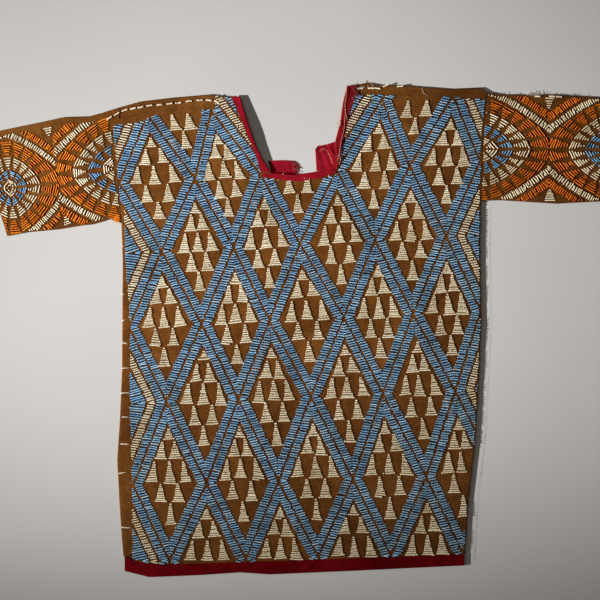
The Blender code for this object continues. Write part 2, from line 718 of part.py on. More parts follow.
def front_binding(cloth):
    """The binding along the bottom of the neck, which turns down over the cut edge between the corners."""
    start = LIP_RADIUS + BINDING_WALL
    reach = LIP_RADIUS * math.pi / 2 + LIP_DROP
    left, right, lip_left, lip_right = -57.0, 50.0, -41.0, 20.0
    outline = across(BINDING_FRONT, left, right)
    outline += across(NECK_FRONT, right, lip_right, -start)
    outline += across(NECK_FRONT, lip_right, lip_left, reach - start)
    outline += across(NECK_FRONT, lip_left, left, -start)
    creases = bend_lines(across(NECK_FRONT, lip_left, lip_right, -start), LIP_RADIUS, math.pi / 2, (0, 1))

    def lay(x, y, height):
        edge = read(NECK_FRONT, x) - start
        past = y - edge
        out, level = bent(past, LIP_RADIUS, math.pi / 2, height)
        upward = np.where(past > 0, edge + out, y)
        return as_points(x, upward, BINDING_REST + lift(x, upward) + level)

    return cloth_body("neck_binding_front", outline, lay, BINDING_WALL, cloth, creases)


def flat_piece(name, cloth, outline, rest, wall, follows_ridges):
    """A piece of cloth with no bend, on the surface or on the front layer."""

    def lay(x, y, height):
        raise_by = lift(x, y) if follows_ridges else 0.0
        return as_points(x, y, rest + raise_by + height)

    return cloth_body(name, outline, lay, wall, cloth)


def folded_end(cloth):
    """The loose end of the binding in the neck's right corner, with its tip curled up."""
    tip_x, tip_y, reach = 20.0, 264.0, 20.0

    def lay(x, y, height):
        away = np.hypot(x - tip_x, y - tip_y)
        curl = CURL * np.clip(1 - away / reach, 0, 1) ** 2
        return as_points(x, y, WALL + SEAM + curl + height)

    outline = across(NECK_FRONT, 22, 49, SEAM)
    outline += down(NECK_RIGHT, 233, 273, -SEAM)
    outline += list(NECK_FLAP_TOP)
    return cloth_body("neck_binding_flap", outline, lay, BINDING_WALL, cloth, spacing=12.0)


def hem_outline():
    """A hem band's outline, from side to side."""
    return across(HEM_BOTTOM, -256, 236) + across(HEM_TOP, 236, -256)


def cloth_material(name):
    """A plain finish of one of the garment's cloths."""
    colour, roughness = CLOTHS[name]
    material = bpy.data.materials.new(name)
    material.use_nodes = True
    shader = material.node_tree.nodes["Principled BSDF"]
    shader.inputs["Base Color"].default_value = colour
    shader.inputs["Roughness"].default_value = roughness
    shader.inputs["Metallic"].default_value = 0.0
    return material


def clear_scene():
    """Removes whatever the scene holds."""
    for piece in list(bpy.data.objects):
        bpy.data.objects.remove(piece, do_unlink=True)


def build():
    """Makes the garment's pieces."""
    clear_scene()
    shirt = bpy.data.collections.new("beaded_shirt")
    bpy.context.scene.collection.children.link(shirt)
    brown = cloth_material("brown_cotton")
    red = cloth_material("dark_red_cotton")
    left_edges = (SLEEVE_LEFT_TOP, SLEEVE_LEFT_BOTTOM, LEFT_ARMHOLE, SLEEVE_LEFT_CUFF)
    right_edges = (SLEEVE_RIGHT_TOP, SLEEVE_RIGHT_BOTTOM, RIGHT_ARMHOLE, SLEEVE_RIGHT_CUFF)
    left_beads = sleeve_beads(
        LEFT_MEDALLIONS, LEFT_SMALL_TRIANGLES, LEFT_MIDDLE, left_edges, LEFT_TOP_MARGIN, -1)
    right_beads = sleeve_beads(
        RIGHT_MEDALLIONS, RIGHT_SMALL_TRIANGLES, RIGHT_MIDDLE, right_edges, RIGHT_TOP_MARGIN, 1)
    back_binding = across(NECK_FRONT, -42, -8, SEAM - NECK_TUCK) + list(BACK_BINDING_TOP)
    pieces = (
        front_panel(brown),
        back_panel(brown),
        sleeve("sleeve_left", brown, left_edges, left_beads, -1),
        sleeve("sleeve_right", brown, right_edges, right_beads, 1),
        side_binding("neck_binding_left", red, NECK_LEFT, BINDING_LEFT, (228.6, 338), 1),
        front_binding(red),
        side_binding("neck_binding_right", red, NECK_RIGHT, BINDING_RIGHT, (232.5, 354), -1),
        flat_piece("neck_binding_back", red, back_binding, 0.0, BINDING_WALL, False),
        folded_end(red),
        flat_piece("hem_band_front", red, hem_outline(), FRONT_REST, WALL, True),
        flat_piece("hem_band_back", red, hem_outline(), 0.0, WALL, False),
    )
    for piece in pieces:
        shirt.objects.link(piece)


build()
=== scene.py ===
"""The dressed look of a beaded tunic that lies flat with its front up.

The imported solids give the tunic's cut. Here every piece of cloth becomes a thin woven sheet on its
solid's form, and every lane, triangle and wedge of the beadwork becomes rows of separate glass beads.
Sizes are in millimetres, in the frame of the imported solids, and become metres when a mesh is made.
"""

import logging
import math
from collections.abc import Iterable, Sequence
from dataclasses import dataclass, field
from enum import Enum

import bpy
import numpy as np
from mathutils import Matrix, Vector
from mathutils.geometry import delaunay_2d_cdt


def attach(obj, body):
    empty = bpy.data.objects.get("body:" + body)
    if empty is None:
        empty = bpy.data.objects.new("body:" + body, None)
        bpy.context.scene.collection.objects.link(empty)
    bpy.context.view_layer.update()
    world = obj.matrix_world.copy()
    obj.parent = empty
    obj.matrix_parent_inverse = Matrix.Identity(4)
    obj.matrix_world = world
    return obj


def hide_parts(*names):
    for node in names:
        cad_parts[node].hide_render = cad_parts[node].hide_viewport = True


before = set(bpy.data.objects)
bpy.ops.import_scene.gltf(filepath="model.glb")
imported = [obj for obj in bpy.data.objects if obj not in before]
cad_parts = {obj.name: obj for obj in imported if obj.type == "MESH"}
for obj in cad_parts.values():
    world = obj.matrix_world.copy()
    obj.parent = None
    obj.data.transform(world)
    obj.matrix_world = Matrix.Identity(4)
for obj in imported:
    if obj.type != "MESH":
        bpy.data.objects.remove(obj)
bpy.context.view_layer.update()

MM = 0.001
LOG = logging.getLogger("tunic")

Point = tuple[float, float]
Triple = tuple[float, float, float]
Polygon = list[Point]
Socket = bpy.types.NodeSocket

WHITE: Triple = (1.0, 1.0, 1.0)
# Where the painted light falloff on cloth and beads is brightest, in metres, and how far it reaches.
PAINTED_LIGHT_MIDDLE: Triple = (-0.22, 0.30, 0.0)
PAINTED_LIGHT_REACH = 1.0
SHARP_DEGREES = 50
LEAST_AREA = 6.0
HALF_TIP = 1.3


@dataclass(frozen=True)
class Edge:
    """An edge of the garment, as places along it and where it lies there.

    A falling edge is keyed by y and gives x; a level one is keyed by x and gives y.
    """

    places: tuple[Point, ...]
    falling: bool = False

    def at(self, place: float | np.ndarray) -> np.ndarray:
        """Where the edge lies at a place along it."""
        keys, values = zip(*self.places)
        return np.interp(place, keys, values)

    def point(self, place: float, shift: float = 0.0) -> Point:
        """The edge's point at a place, shifted across it."""
        value = float(self.at(place)) + shift
        return (value, float(place)) if self.falling else (float(place), value)

    def run(self, start: float, stop: float, shift: float = 0.0) -> Polygon:
        """The edge's points from one place to another, shifted across it."""
        low, high = min(start, stop), max(start, stop)
        between = [key for key, _ in self.places if low < key < high]
        return [self.point(key, shift) for key in [start, *sorted(between, reverse=start > stop), stop]]

    def line_beside(self, corner: Sequence[float], side: float, margin: float) -> tuple[Point, Point]:
        """The edge's straight line beside a corner.

        Args:
            corner: the point beside which the edge is taken as straight.
            side: 1 to keep what lies past the edge, -1 to keep what lies before it.
            margin: how far the line is moved to the kept side.

        Returns:
            A point on the line and the direction to its kept side.
        """
        step = 8.0
        place = float(corner[1 if self.falling else 0])
        slope = float(self.at(place + step) - self.at(place - step)) / (2 * step)
        length = math.hypot(1, slope)
        out, along = side / length, -side * slope / length
        way = (out, along) if self.falling else (along, out)
        base = self.point(place)
        return (base[0] + way[0] * margin, base[1] + way[1] * margin), way

    def trim(self, polygon: Polygon, side: float, margin: float) -> Polygon:
        """Cuts a convex polygon along the edge, beside its middle and wherever a corner still lies over."""
        tolerance, most_cuts = 0.3, 4
        polygon = kept_side(polygon, *self.line_beside(np.mean(polygon, axis=0), side, margin))
        for _ in range(most_cuts):
            over = [overlap(corner, *self.line_beside(corner, side, margin)) for corner in polygon]
            if len(polygon) < 3 or min(over) > -tolerance:
                break
            worst = polygon[over.index(min(over))]
            polygon = kept_side(polygon, *self.line_beside(worst, side, margin))
        return polygon if len(polygon) > 2 else []


def overlap(corner: Sequence[float], point: Point, way: Point) -> float:
    """How far a corner lies on the kept side of a line."""
    return (corner[0] - point[0]) * way[0] + (corner[1] - point[1]) * way[1]


def kept_side(polygon: Polygon, point: Point, way: Point) -> Polygon:
    """The part of a convex polygon on the side of a line that its way points to."""
    kept: Polygon = []
    for here, there in zip(polygon, polygon[1:] + polygon[:1]):
        near, far = overlap(here, point, way), overlap(there, point, way)
        if near >= 0:
            kept.append(here)
        if near * far < 0:
            share = near / (near - far)
            kept.append((here[0] + share * (there[0] - here[0]), here[1] + share * (there[1] - here[1])))
    return kept


def area_of(polygon: Polygon) -> float:
    """Area of a polygon, positive when it runs anticlockwise."""
    points = np.array(polygon)
    after = np.roll(points, -1, axis=0)
    return float(np.sum(points[:, 0] * after[:, 1] - after[:, 0] * points[:, 1]) / 2)


@dataclass(frozen=True)
class Cut:
    """The tunic's edges as they lie, and the heights of its layers."""

    wall: float = 1.5
    seam: float = 0.3
    front_rest: float = 2.0
    binding_wall: float = 1.2
    left_armpit: float = 154.0
    right_armpit: float = 186.0
    panel_hem: float = -325.0
    hem_ends: Point = (-256.0, 236.0)
    edge_margin: float = 2.0
    left_side: Edge = Edge(((-350, -256), (-304, -260), (-246, -264), (-188, -267), (-130, -263),
                            (-58, -260), (99, -259), (154, -261)), True)
    left_seam: Edge = Edge(((-340, -245), (-218, -246), (-102, -249), (0, -249), (154, -252)), True)
    right_side: Edge = Edge(((-341, 236), (-246, 242), (-160, 252), (-72, 257), (14, 261), (116, 259),
                             (186, 260)), True)
    left_armhole: Edge = Edge(((154, -261), (203, -265), (261, -266), (323, -263)), True)
    right_armhole: Edge = Edge(((186, 260), (246, 262), (290, 263), (345, 269)), True)
    left_bead_seam: Edge = Edge(((154, -261), (174, -262.6), (205, -264.2), (232, -268), (252, -270.4),
                                 (277, -272), (298, -276), (323, -280)), True)
    left_bead_edge: Edge = Edge(((-340, -245), (-218, -246), (-102, -249), (0, -249), (60, -252),
                                 (100, -255.5), (154, -257)), True)
    left_bead_top: Edge = Edge(((-276, 297), (-245, 300), (-232, 305), (-215, 312), (-176, 318),
                                (-125, 320)))
    strip_end: float = -124.0
    left_shoulder: Edge = Edge(((-263, 323), (-234, 331), (-191, 336), (-133, 341), (-102, 338), (-89, 338)))
    right_shoulder: Edge = Edge(((66, 354), (80, 355), (92, 358), (111, 355), (150, 354), (215, 349),
                                 (259, 351), (269, 345)))
    left_strip: Edge = Edge(((-266, 306), (-220, 316), (-176, 320), (-125, 323)))
    right_strip: Edge = Edge(((66, 341), (143, 341), (215, 338), (269, 334)))
    hem_top: Edge = Edge(((-256, -329), (-234, -336), (-205, -340), (-75, -336), (70, -331), (236, -325)))
    hem_bottom: Edge = Edge(((-256, -349), (-220, -358), (-147, -355), (-89, -351), (-46, -354),
                             (70, -349), (236, -341)))
    neck_left: Edge = Edge(((228, -43), (244, -54), (268, -66), (297, -76), (338, -89)), True)
    neck_right: Edge = Edge(((232, 50), (274, 49), (300, 56), (329, 60), (354, 66)), True)
    neck_front: Edge = Edge(((-57, 228), (-43, 228), (-8, 225), (24, 230), (50, 232)))
    binding_left: Edge = Edge(((225, -57), (246, -63), (276, -75), (307, -88), (338, -101)), True)
    binding_right: Edge = Edge(((228, 51), (271, 60), (312, 69), (341, 78), (355, 79)), True)
    binding_front: Edge = Edge(((-57, 222), (-31, 218), (-5, 215), (27, 220), (51, 228)))
    back_binding_top: tuple[Point, ...] = ((-4, 238), (-11, 245), (-31, 246), (-49, 245))
    flap_top: tuple[Point, ...] = ((34, 268), (24, 267), (20, 262))

    @property
    def fold_radius(self) -> float:
        """Radius inside a fold that brings the back cloth up to the front's level."""
        return (self.front_rest - self.wall) / 2

    @property
    def binding_rest(self) -> float:
        """Height of a binding's underside."""
        return self.front_rest + self.wall + self.seam

    @property
    def neck_tuck(self) -> float:
        """How far the panels' neck edges lie inside the binding's fold."""
        lip_radius = 0.4
        return lip_radius + self.binding_wall + self.seam

    def neck_line(self, right_top: float) -> Polygon:
        """The panels' neck edge in the binding's fold, from the top of its right side to that of its left."""
        right_low, front_ends, left_ends = 233, (50, -43), (230, 336)
        return (self.neck_right.run(right_top, right_low, self.neck_tuck)
                + self.neck_front.run(*front_ends, -self.neck_tuck)
                + self.neck_left.run(*left_ends, -self.neck_tuck))


CUT = Cut()


@dataclass(frozen=True)
class Crease:
    """A soft ridge or trough in the cloth, longer than it is wide."""

    x: float
    y: float
    half_length: float
    half_width: float
    degrees: float
    height: float

    def rise(self, x: np.ndarray, y: np.ndarray) -> np.ndarray:
        """How far the crease raises the cloth at some places."""
        turn = math.radians(self.degrees)
        along = (x - self.x) * math.cos(turn) + (y - self.y) * math.sin(turn)
        aside = (y - self.y) * math.cos(turn) - (x - self.x) * math.sin(turn)
        falloff = np.clip(1 - (along / self.half_length) ** 2, 0, 1)
        return self.height * (falloff * np.clip(1 - (aside / self.half_width) ** 2, 0, 1)) ** 2


@dataclass(frozen=True)
class Ground:
    """The front layer's surface: the large ridges that its solid has too, and the finer creases."""

    ridges: tuple[Crease, ...] = tuple(Crease(*row) for row in (
        (-82, 285, 62, 30, 113, 2.4), (72, 300, 48, 24, 78, 1.2), (-150, -215, 120, 34, 62, 1.1),
        (165, 20, 130, 36, 98, 1.0), (0, -110, 100, 30, 35, 0.9), (60, 150, 70, 26, 140, 0.8),
        (-315, 235, 45, 24, 100, 1.3), (-395, 222, 40, 22, 70, 0.9), (320, 262, 42, 24, 95, 1.2),
        (402, 258, 38, 22, 110, 0.9),
    ))
    creases: tuple[Crease, ...] = tuple(Crease(*row) for row in (
        (-215, 250, 34, 7, 40, 0.7), (-180, 262, 30, 6, 118, 0.6), (-120, 240, 40, 8, 62, 0.7),
        (-60, 175, 38, 7, 128, 0.6), (-8, 195, 26, 6, 84, 0.8), (10, 160, 44, 9, 20, 0.5),
        (95, 260, 38, 7, 52, 0.7), (160, 290, 42, 8, 132, 0.7), (225, 250, 36, 7, 70, 0.6),
        (-225, 60, 44, 8, 76, 0.6), (-130, 60, 46, 9, 48, 0.6), (40, 60, 52, 9, 118, 0.6),
        (200, 80, 48, 8, 64, 0.6), (-200, -60, 46, 8, 104, 0.7), (-60, -40, 50, 9, 70, 0.6),
        (110, -60, 54, 9, 45, 0.7), (215, -110, 46, 8, 112, 0.6), (-90, -190, 52, 9, 122, 0.7),
        (60, -210, 48, 9, 66, 0.6), (170, -230, 52, 9, 96, 0.7), (-205, -285, 40, 8, 30, 0.7),
        (-10, -295, 46, 8, 88, 0.7), (120, -305, 40, 8, 60, 0.6), (-292, 262, 28, 6, 66, 0.8),
        (-350, 250, 30, 7, 112, 0.7), (-375, 190, 30, 6, 58, 0.7), (-420, 240, 26, 6, 98, 0.6),
        (300, 215, 26, 6, 58, 0.7), (345, 285, 28, 6, 120, 0.7), (395, 220, 28, 6, 80, 0.6),
        (430, 290, 24, 6, 60, 0.6), (-254, 90, 16, 5, 4, 0.5), (-256, -40, 14, 5, -6, 0.6),
        (-257, -148, 15, 5, 5, 0.6), (-255, -250, 16, 5, -3, 0.6), (-205, 328, 14, 5, 100, 0.7),
        (-150, 331, 13, 5, 82, 0.6), (150, 347, 14, 5, 96, 0.6), (225, 344, 13, 5, 84, 0.6),
        (-180, -347, 16, 8, 88, 0.7), (-95, -344, 15, 7, 100, 0.8), (10, -342, 16, 8, 80, 0.7),
        (105, -339, 15, 7, 96, 0.8), (190, -336, 15, 7, 86, 0.7),
    ))

    def lift(self, x: np.ndarray, y: np.ndarray) -> np.ndarray:
        """How far the cloth is raised at some places."""
        x, y = np.asarray(x, float), np.asarray(y, float)
        return sum((crease.rise(x, y) for crease in self.ridges + self.creases), np.zeros(x.shape))

    def top(self, x: np.ndarray, y: np.ndarray) -> np.ndarray:
        """Height of the front layer's upper side."""
        return CUT.front_rest + CUT.wall + self.lift(x, y)


GROUND = Ground()


@dataclass(frozen=True)
class Bend:
    """Cloth that goes round a bend of some radius, through some angle."""

    radius: float
    turn: float
    steps: int = 4

    def past(self, distance: np.ndarray, height: float) -> tuple[np.ndarray, np.ndarray]:
        """How far out and how high cloth lies, past the bend's start, at a height above its inner side."""
        angle = np.clip(distance / self.radius, 0, self.turn)
        beyond = distance - angle * self.radius
        out = (self.radius + height) * np.sin(angle) + beyond * np.cos(angle)
        level = (self.radius + height) * np.cos(angle) - self.radius - beyond * np.sin(angle)
        return out, level

    def across(self, value: np.ndarray, edge: np.ndarray, way: int, height: float,
               bent: np.ndarray | bool = True) -> tuple[np.ndarray, np.ndarray, np.ndarray]:
        """Where cloth lies that bends past an edge.

        Args:
            value: places on the flat cloth, across the edge.
            edge: where the bend starts.
            way: 1 when the cloth bends beyond the edge, -1 when it bends before it.
            height: the height above the cloth's inner side.
            bent: which of the places bend at all.

        Returns:
            The places across the edge, their levels, and how far they lie past it.
        """
        past = np.where(bent, way * (value - edge), -1.0)
        out, level = self.past(past, height)
        return np.where(past > 0, edge + way * out, value), level, past

    @property
    def length(self) -> float:
        """Length of cloth in the bend."""
        return self.radius * self.turn

    def lines(self, edge: Polygon, way: Point) -> list[Polygon]:
        """The lines where the bend starts and those that follow it round."""
        steps = [self.length * step / self.steps for step in range(self.steps + 1)]
        return [[(x + way[0] * past, y + way[1] * past) for x, y in edge] for past in steps]


def as_points(x: np.ndarray, y: np.ndarray, z: np.ndarray | float) -> np.ndarray:
    """Places with three coordinates."""
    return np.stack([x, y, np.broadcast_to(z, np.shape(x))], axis=1)


class Slot(Enum):
    """Names of the material slots."""

    BROWN = "brown_cotton"
    RED = "dark_red_cotton"
    BLUE_BEADS = "blue_beads"
    CREAM_BEADS = "cream_beads"
    ORANGE_BEADS = "orange_beads"
    THREAD = "white_thread"


class NodeDesk:
    """Adds shader nodes to a material and joins them."""

    def __init__(self, name: str) -> None:
        """Starts a material that has a Principled shader and an output."""
        self.material = bpy.data.materials.new(name)
        self.material.use_nodes = True
        self.tree = self.material.node_tree
        self.shader = self.tree.nodes["Principled BSDF"]

    def add(self, kind: str, **values: object) -> bpy.types.Node:
        """Adds a node and sets its properties and, by name, its input values."""
        node = self.tree.nodes.new(kind)
        for key, value in values.items():
            name = key.replace("_", " ").title()
            if key in node.bl_rna.properties:
                setattr(node, key, value)
            else:
                node.inputs[name].default_value = value
        return node

    def join(self, source: Socket, target: Socket) -> None:
        """Links one socket to another."""
        self.tree.links.new(source, target)

    def place(self) -> Socket:
        """The point in the garment's own frame."""
        return self.add("ShaderNodeTexCoord").outputs["Object"]

    def noise(self, place: Socket, scale: float, detail: float = 3.0) -> Socket:
        """A soft noise of some scale, from 0 to 1."""
        node = self.add("ShaderNodeTexNoise", scale=scale, detail=detail)
        self.join(place, node.inputs["Vector"])
        return node.outputs["Fac"]

    def distance(self, place: Socket, middle: Sequence[float], reach: float) -> Socket:
        """A value that falls from 1 at a middle to 0 at some reach, in metres."""
        moved = self.add("ShaderNodeMapping")
        self.join(place, moved.inputs["Vector"])
        moved.inputs["Location"].default_value = tuple(-value / reach for value in middle)
        moved.inputs["Scale"].default_value = (1 / reach,) * 3
        node = self.add("ShaderNodeTexGradient", gradient_type="SPHERICAL")
        self.join(moved.outputs["Vector"], node.inputs["Vector"])
        return node.outputs["Fac"]

    def ramp(self, factor: Socket, stops: Sequence[tuple[float, Sequence[float]]]) -> Socket:
        """Turns a factor into a colour.

        Args:
            factor: the value that picks the colour.
            stops: rows of place and colour.

        Returns:
            The colour's socket.
        """
        node = self.add("ShaderNodeValToRGB")
        elements = node.color_ramp.elements
        while len(elements) < len(stops):
            elements.new(0.5)
        for element, (place, colour) in zip(elements, stops):
            element.position = place
            element.color = (*colour, 1.0)
        self.join(factor, node.inputs["Fac"])
        return node.outputs["Color"]

    def math(self, operation: str, first: Socket | float, second: Socket | float) -> Socket:
        """Joins two values by a sum."""
        node = self.add("ShaderNodeMath", operation=operation)
        for socket, value in zip(node.inputs, (first, second)):
            if isinstance(value, Socket):
                self.join(value, socket)
            else:
                socket.default_value = value
        return node.outputs["Value"]

    def times(self, first: Socket, second: Socket) -> Socket:
        """Multiplies one colour by another."""
        node = self.add("ShaderNodeMix", data_type="RGBA", blend_type="MULTIPLY")
        share, one, other, mixed = 0, 6, 7, 2
        node.inputs[share].default_value = 1.0
        self.join(first, node.inputs[one])
        self.join(second, node.inputs[other])
        return node.outputs[mixed]

    def mottled(self, place: Socket, mottle: "Mottle") -> Socket:
        """The colour of a mottle at a place."""
        return self.ramp(self.noise(place, mottle.scale, mottle.detail),
                         ((mottle.start, mottle.low), (mottle.stop, mottle.high)))

    def painted_falloff(self, place: Socket, darkest: Triple) -> Socket:
        """Painted light falloff: a tint that is white beside the left shoulder and falls to a darker one at
        the far corner.
        """
        return self.ramp(self.distance(place, PAINTED_LIGHT_MIDDLE, PAINTED_LIGHT_REACH), ((0.10, darkest), (0.75, WHITE)))

    def set(self, values: dict[str, float]) -> None:
        """Sets the shader's inputs by name."""
        for name, value in values.items():
            self.shader.inputs[name].default_value = value

    def bump(self, height: Socket, strength: float, distance: float) -> None:
        """Gives the shader a bump."""
        node = self.add("ShaderNodeBump", strength=strength, distance=distance)
        self.join(height, node.inputs["Height"])
        self.join(node.outputs["Normal"], self.shader.inputs["Normal"])

    def weave(self, place: Socket, pitch: float) -> Socket:
        """The height of a plain weave whose threads lie a pitch apart, in metres."""
        rows_to_scale = 2 * math.pi / 20
        bands = []
        for direction in ("X", "Y"):
            node = self.add("ShaderNodeTexWave", wave_type="BANDS", bands_direction=direction,
                            scale=rows_to_scale / pitch, distortion=1.2, detail=1.0)
            self.join(place, node.inputs["Vector"])
            bands.append(node.outputs["Fac"])
        return self.math("ADD", *bands)


@dataclass(frozen=True)
class Mottle:
    """A soft noise of some scale that runs from one tint to another."""

    scale: float
    detail: float
    start: float
    low: Triple
    stop: float
    high: Triple


SPECKS = Mottle(420.0, 2.0, 0.30, (0.66,) * 3, 0.70, (1.18,) * 3)
DUST = Mottle(62.0, 5.0, 0.35, (0.82,) * 3, 0.68, (1.12,) * 3)
BEAD_DIRT = Mottle(26.0, 3.0, 0.36, (0.80, 0.77, 0.72), 0.60, WHITE)
PAPER_CLOUDS = Mottle(3.0, 2.0, 0.3, (0.97,) * 3, 0.7, (1.02,) * 3)


@dataclass(frozen=True)
class CottonFinish:
    """Woven cotton: three tones, from worn to deep, and how strongly its threads and slubs show."""

    name: str
    worn: Triple
    middle: Triple
    deep: Triple
    patch_scale: float = 11.0
    patch_detail: float = 4.0
    thread_pitch: float = 0.0007
    thread_height: float = 0.5
    slub_scale: float = 700.0
    slub_height: float = 0.90
    bump: Point = (0.55, 0.00030)
    roughness: float = 0.90
    sheen: float = 0.01
    gloss: float = 0.05
    # How dark the painted shade falloff gets on the cloth at the far corner.
    falloff_shade: float = 0.44

    def material(self) -> bpy.types.Material:
        """Makes the material."""
        desk = NodeDesk(self.name)
        place = desk.place()
        colour = desk.ramp(desk.noise(place, self.patch_scale, self.patch_detail),
                           ((0.30, self.deep), (0.52, self.middle), (0.74, self.worn)))
        # Dust and specks are the cloth's own marks; the last tint is painted shade that darkens it away from
        # the left shoulder.
        for tint in (desk.mottled(place, DUST), desk.mottled(place, SPECKS),
                     desk.painted_falloff(place, (self.falloff_shade,) * 3)):
            colour = desk.times(colour, tint)
        desk.join(colour, desk.shader.inputs["Base Color"])
        threads = desk.math("MULTIPLY", desk.weave(place, self.thread_pitch), self.thread_height)
        slubs = desk.math("MULTIPLY", desk.noise(place, self.slub_scale), self.slub_height)
        desk.bump(desk.math("ADD", threads, slubs), *self.bump)
        desk.set({"Roughness": self.roughness, "Specular IOR Level": self.gloss,
                  "Sheen Weight": self.sheen, "Sheen Roughness": 0.6})
        return desk.material


@dataclass(frozen=True)
class BeadFinish:
    """Opaque glass beads, whose tones run from dark to light bead by bead, with a painted shade colour for
    the dark strips laid between their rows.
    """

    name: str
    tones: tuple[Triple, ...]
    # The painted shade colour of the strips between rows, at tone 0.
    painted_gap_shade: Triple = (0.030, 0.014, 0.006)
    tone_places: Point = (0.05, 0.97)
    grain_scale: float = 1500.0
    grain_detail: float = 2.0
    bump: Point = (0.10, 0.0001)
    roughness: float = 0.55
    coat: float = 0.02
    gloss: float = 0.12
    # How dark the painted shade falloff gets on the beads at the far corner.
    falloff_shade: Triple = (0.88, 0.83, 0.74)

    def material(self) -> bpy.types.Material:
        """Makes the material."""
        desk = NodeDesk(self.name)
        tone = desk.add("ShaderNodeAttribute", attribute_name="tone").outputs["Fac"]
        stops = [(0.0, self.painted_gap_shade), *zip(np.linspace(*self.tone_places, len(self.tones)), self.tones)]
        place = desk.place()
        colour = desk.times(desk.ramp(tone, stops), desk.mottled(place, BEAD_DIRT))
        # Painted shade that darkens the beads away from the left shoulder.
        colour = desk.times(colour, desk.painted_falloff(place, self.falloff_shade))
        desk.join(colour, desk.shader.inputs["Base Color"])
        desk.bump(desk.noise(place, self.grain_scale, self.grain_detail), *self.bump)
        desk.set({"Roughness": self.roughness, "Specular IOR Level": self.gloss,
                  "Coat Weight": self.coat, "Coat Roughness": 0.12})
        return desk.material


@dataclass(frozen=True)
class ThreadFinish:
    """Sewing thread or a cloth's loose yarn."""

    name: str
    light: Triple
    dark: Triple
    thread_pitch: float = 0.0004
    bump: Point = (0.4, 0.0001)

    def material(self) -> bpy.types.Material:
        """Makes the material."""
        desk = NodeDesk(self.name)
        place = desk.place()
        desk.join(desk.mottled(place, Mottle(300.0, 3.0, 0.35, self.dark, 0.65, self.light)),
                  desk.shader.inputs["Base Color"])
        desk.bump(desk.weave(place, self.thread_pitch), *self.bump)
        desk.set({"Roughness": 0.8, "Sheen Weight": 0.2})
        return desk.material


BROWN_COTTON = CottonFinish(
    "brown_cotton_cloth", (0.215, 0.083, 0.017), (0.163, 0.057, 0.009), (0.105, 0.034, 0.005))
FRONT_COTTON = CottonFinish(
    "brown_front_cloth", (0.226, 0.084, 0.017), (0.172, 0.060, 0.010), (0.110, 0.036, 0.005))
RED_COTTON = CottonFinish(
    "dark_red_cotton_cloth", (0.390, 0.010, 0.030), (0.320, 0.006, 0.018), (0.200, 0.002, 0.008))
WORN_COTTON = CottonFinish(
    "worn_red_cotton_cloth", (0.300, 0.016, 0.022), (0.235, 0.007, 0.012), (0.150, 0.003, 0.006))
HEM_COTTON = CottonFinish(
    "dark_red_hem_cloth", (0.240, 0.003, 0.009), (0.190, 0.001, 0.005), (0.120, 0.0005, 0.003),
    sheen=0.0, gloss=0.03)
BLUE_GLASS = BeadFinish(
    "blue_glass", ((0.070, 0.175, 0.330), (0.130, 0.325, 0.590), (0.195, 0.450, 0.770),
                   (0.310, 0.590, 0.880), (0.490, 0.730, 0.930)))
# Cream and orange beads carry their own painted shade colours for the strips between rows.
CREAM_GLASS = BeadFinish(
    "cream_glass", ((0.620, 0.490, 0.310), (0.820, 0.700, 0.490), (0.900, 0.810, 0.610),
                    (0.940, 0.880, 0.720)), painted_gap_shade=(0.080, 0.040, 0.015))
ORANGE_GLASS = BeadFinish(
    "orange_glass", ((0.480, 0.085, 0.003), (0.700, 0.155, 0.004), (0.860, 0.235, 0.006),
                     (0.930, 0.360, 0.018)), painted_gap_shade=(0.030, 0.010, 0.005))
WHITE_THREAD = ThreadFinish("white_thread_cotton", (0.80, 0.74, 0.62), (0.52, 0.45, 0.34))
BROWN_YARN = ThreadFinish("brown_yarn", (0.20, 0.100, 0.040), (0.075, 0.032, 0.010))
TAN_YARN = ThreadFinish("tan_yarn", (0.52, 0.26, 0.15), (0.34, 0.10, 0.05))
RED_YARN = ThreadFinish("red_yarn", (0.36, 0.03, 0.045), (0.17, 0.008, 0.015))


def mesh_object(name: str, points: np.ndarray, faces: np.ndarray, material: bpy.types.Material,
                tone: np.ndarray | None = None) -> bpy.types.Object:
    """Makes a smooth mesh from arrays.

    Args:
        name: the piece's name.
        points: places in millimetres, one row each.
        faces: corners of faces that all have as many corners, one row each.
        material: the piece's finish.
        tone: a shade from 0 to 1 for each point, or None.

    Returns:
        The piece, linked to the scene.
    """
    mesh = bpy.data.meshes.new(name)
    count, size = faces.shape
    mesh.vertices.add(len(points))
    mesh.vertices.foreach_set("co", (points * MM).astype(np.float32).ravel())
    mesh.loops.add(count * size)
    mesh.loops.foreach_set("vertex_index", faces.astype(np.int32).ravel())
    mesh.polygons.add(count)
    mesh.polygons.foreach_set("loop_start", np.arange(0, count * size, size, dtype=np.int32))
    mesh.update(calc_edges=True)
    mesh.polygons.foreach_set("use_smooth", np.ones(count, bool))
    if tone is not None:
        mesh.attributes.new("tone", "FLOAT", "POINT").data.foreach_set("value", tone.astype(np.float32))
    mesh.materials.append(material)
    mesh.validate()
    piece = bpy.data.objects.new(name, mesh)
    bpy.context.scene.collection.objects.link(piece)
    return piece


def inside_outline(points: np.ndarray, outline: Polygon) -> np.ndarray:
    """Which points lie in an outline of any shape."""
    found = np.zeros(len(points), bool)
    for here, there in zip(outline, outline[1:] + outline[:1]):
        if here[1] == there[1]:
            continue
        spans = (here[1] > points[:, 1]) != (there[1] > points[:, 1])
        meets = here[0] + (points[:, 1] - here[1]) * (there[0] - here[0]) / (there[1] - here[1])
        found ^= spans & (points[:, 0] < meets)
    return found


def clear_of_edge(points: np.ndarray, outline: Polygon, least: float) -> np.ndarray:
    """Which points lie at least a distance from every side of an outline."""
    clear, shortest = np.ones(len(points), bool), 1e-9
    for here, there in zip(outline, outline[1:] + outline[:1]):
        start, way = np.array(here), np.array(there) - np.array(here)
        share = np.clip((points - start) @ way / max(way @ way, shortest), 0, 1)
        clear &= np.linalg.norm(points - start - share[:, None] * way, axis=1) > least
    return clear


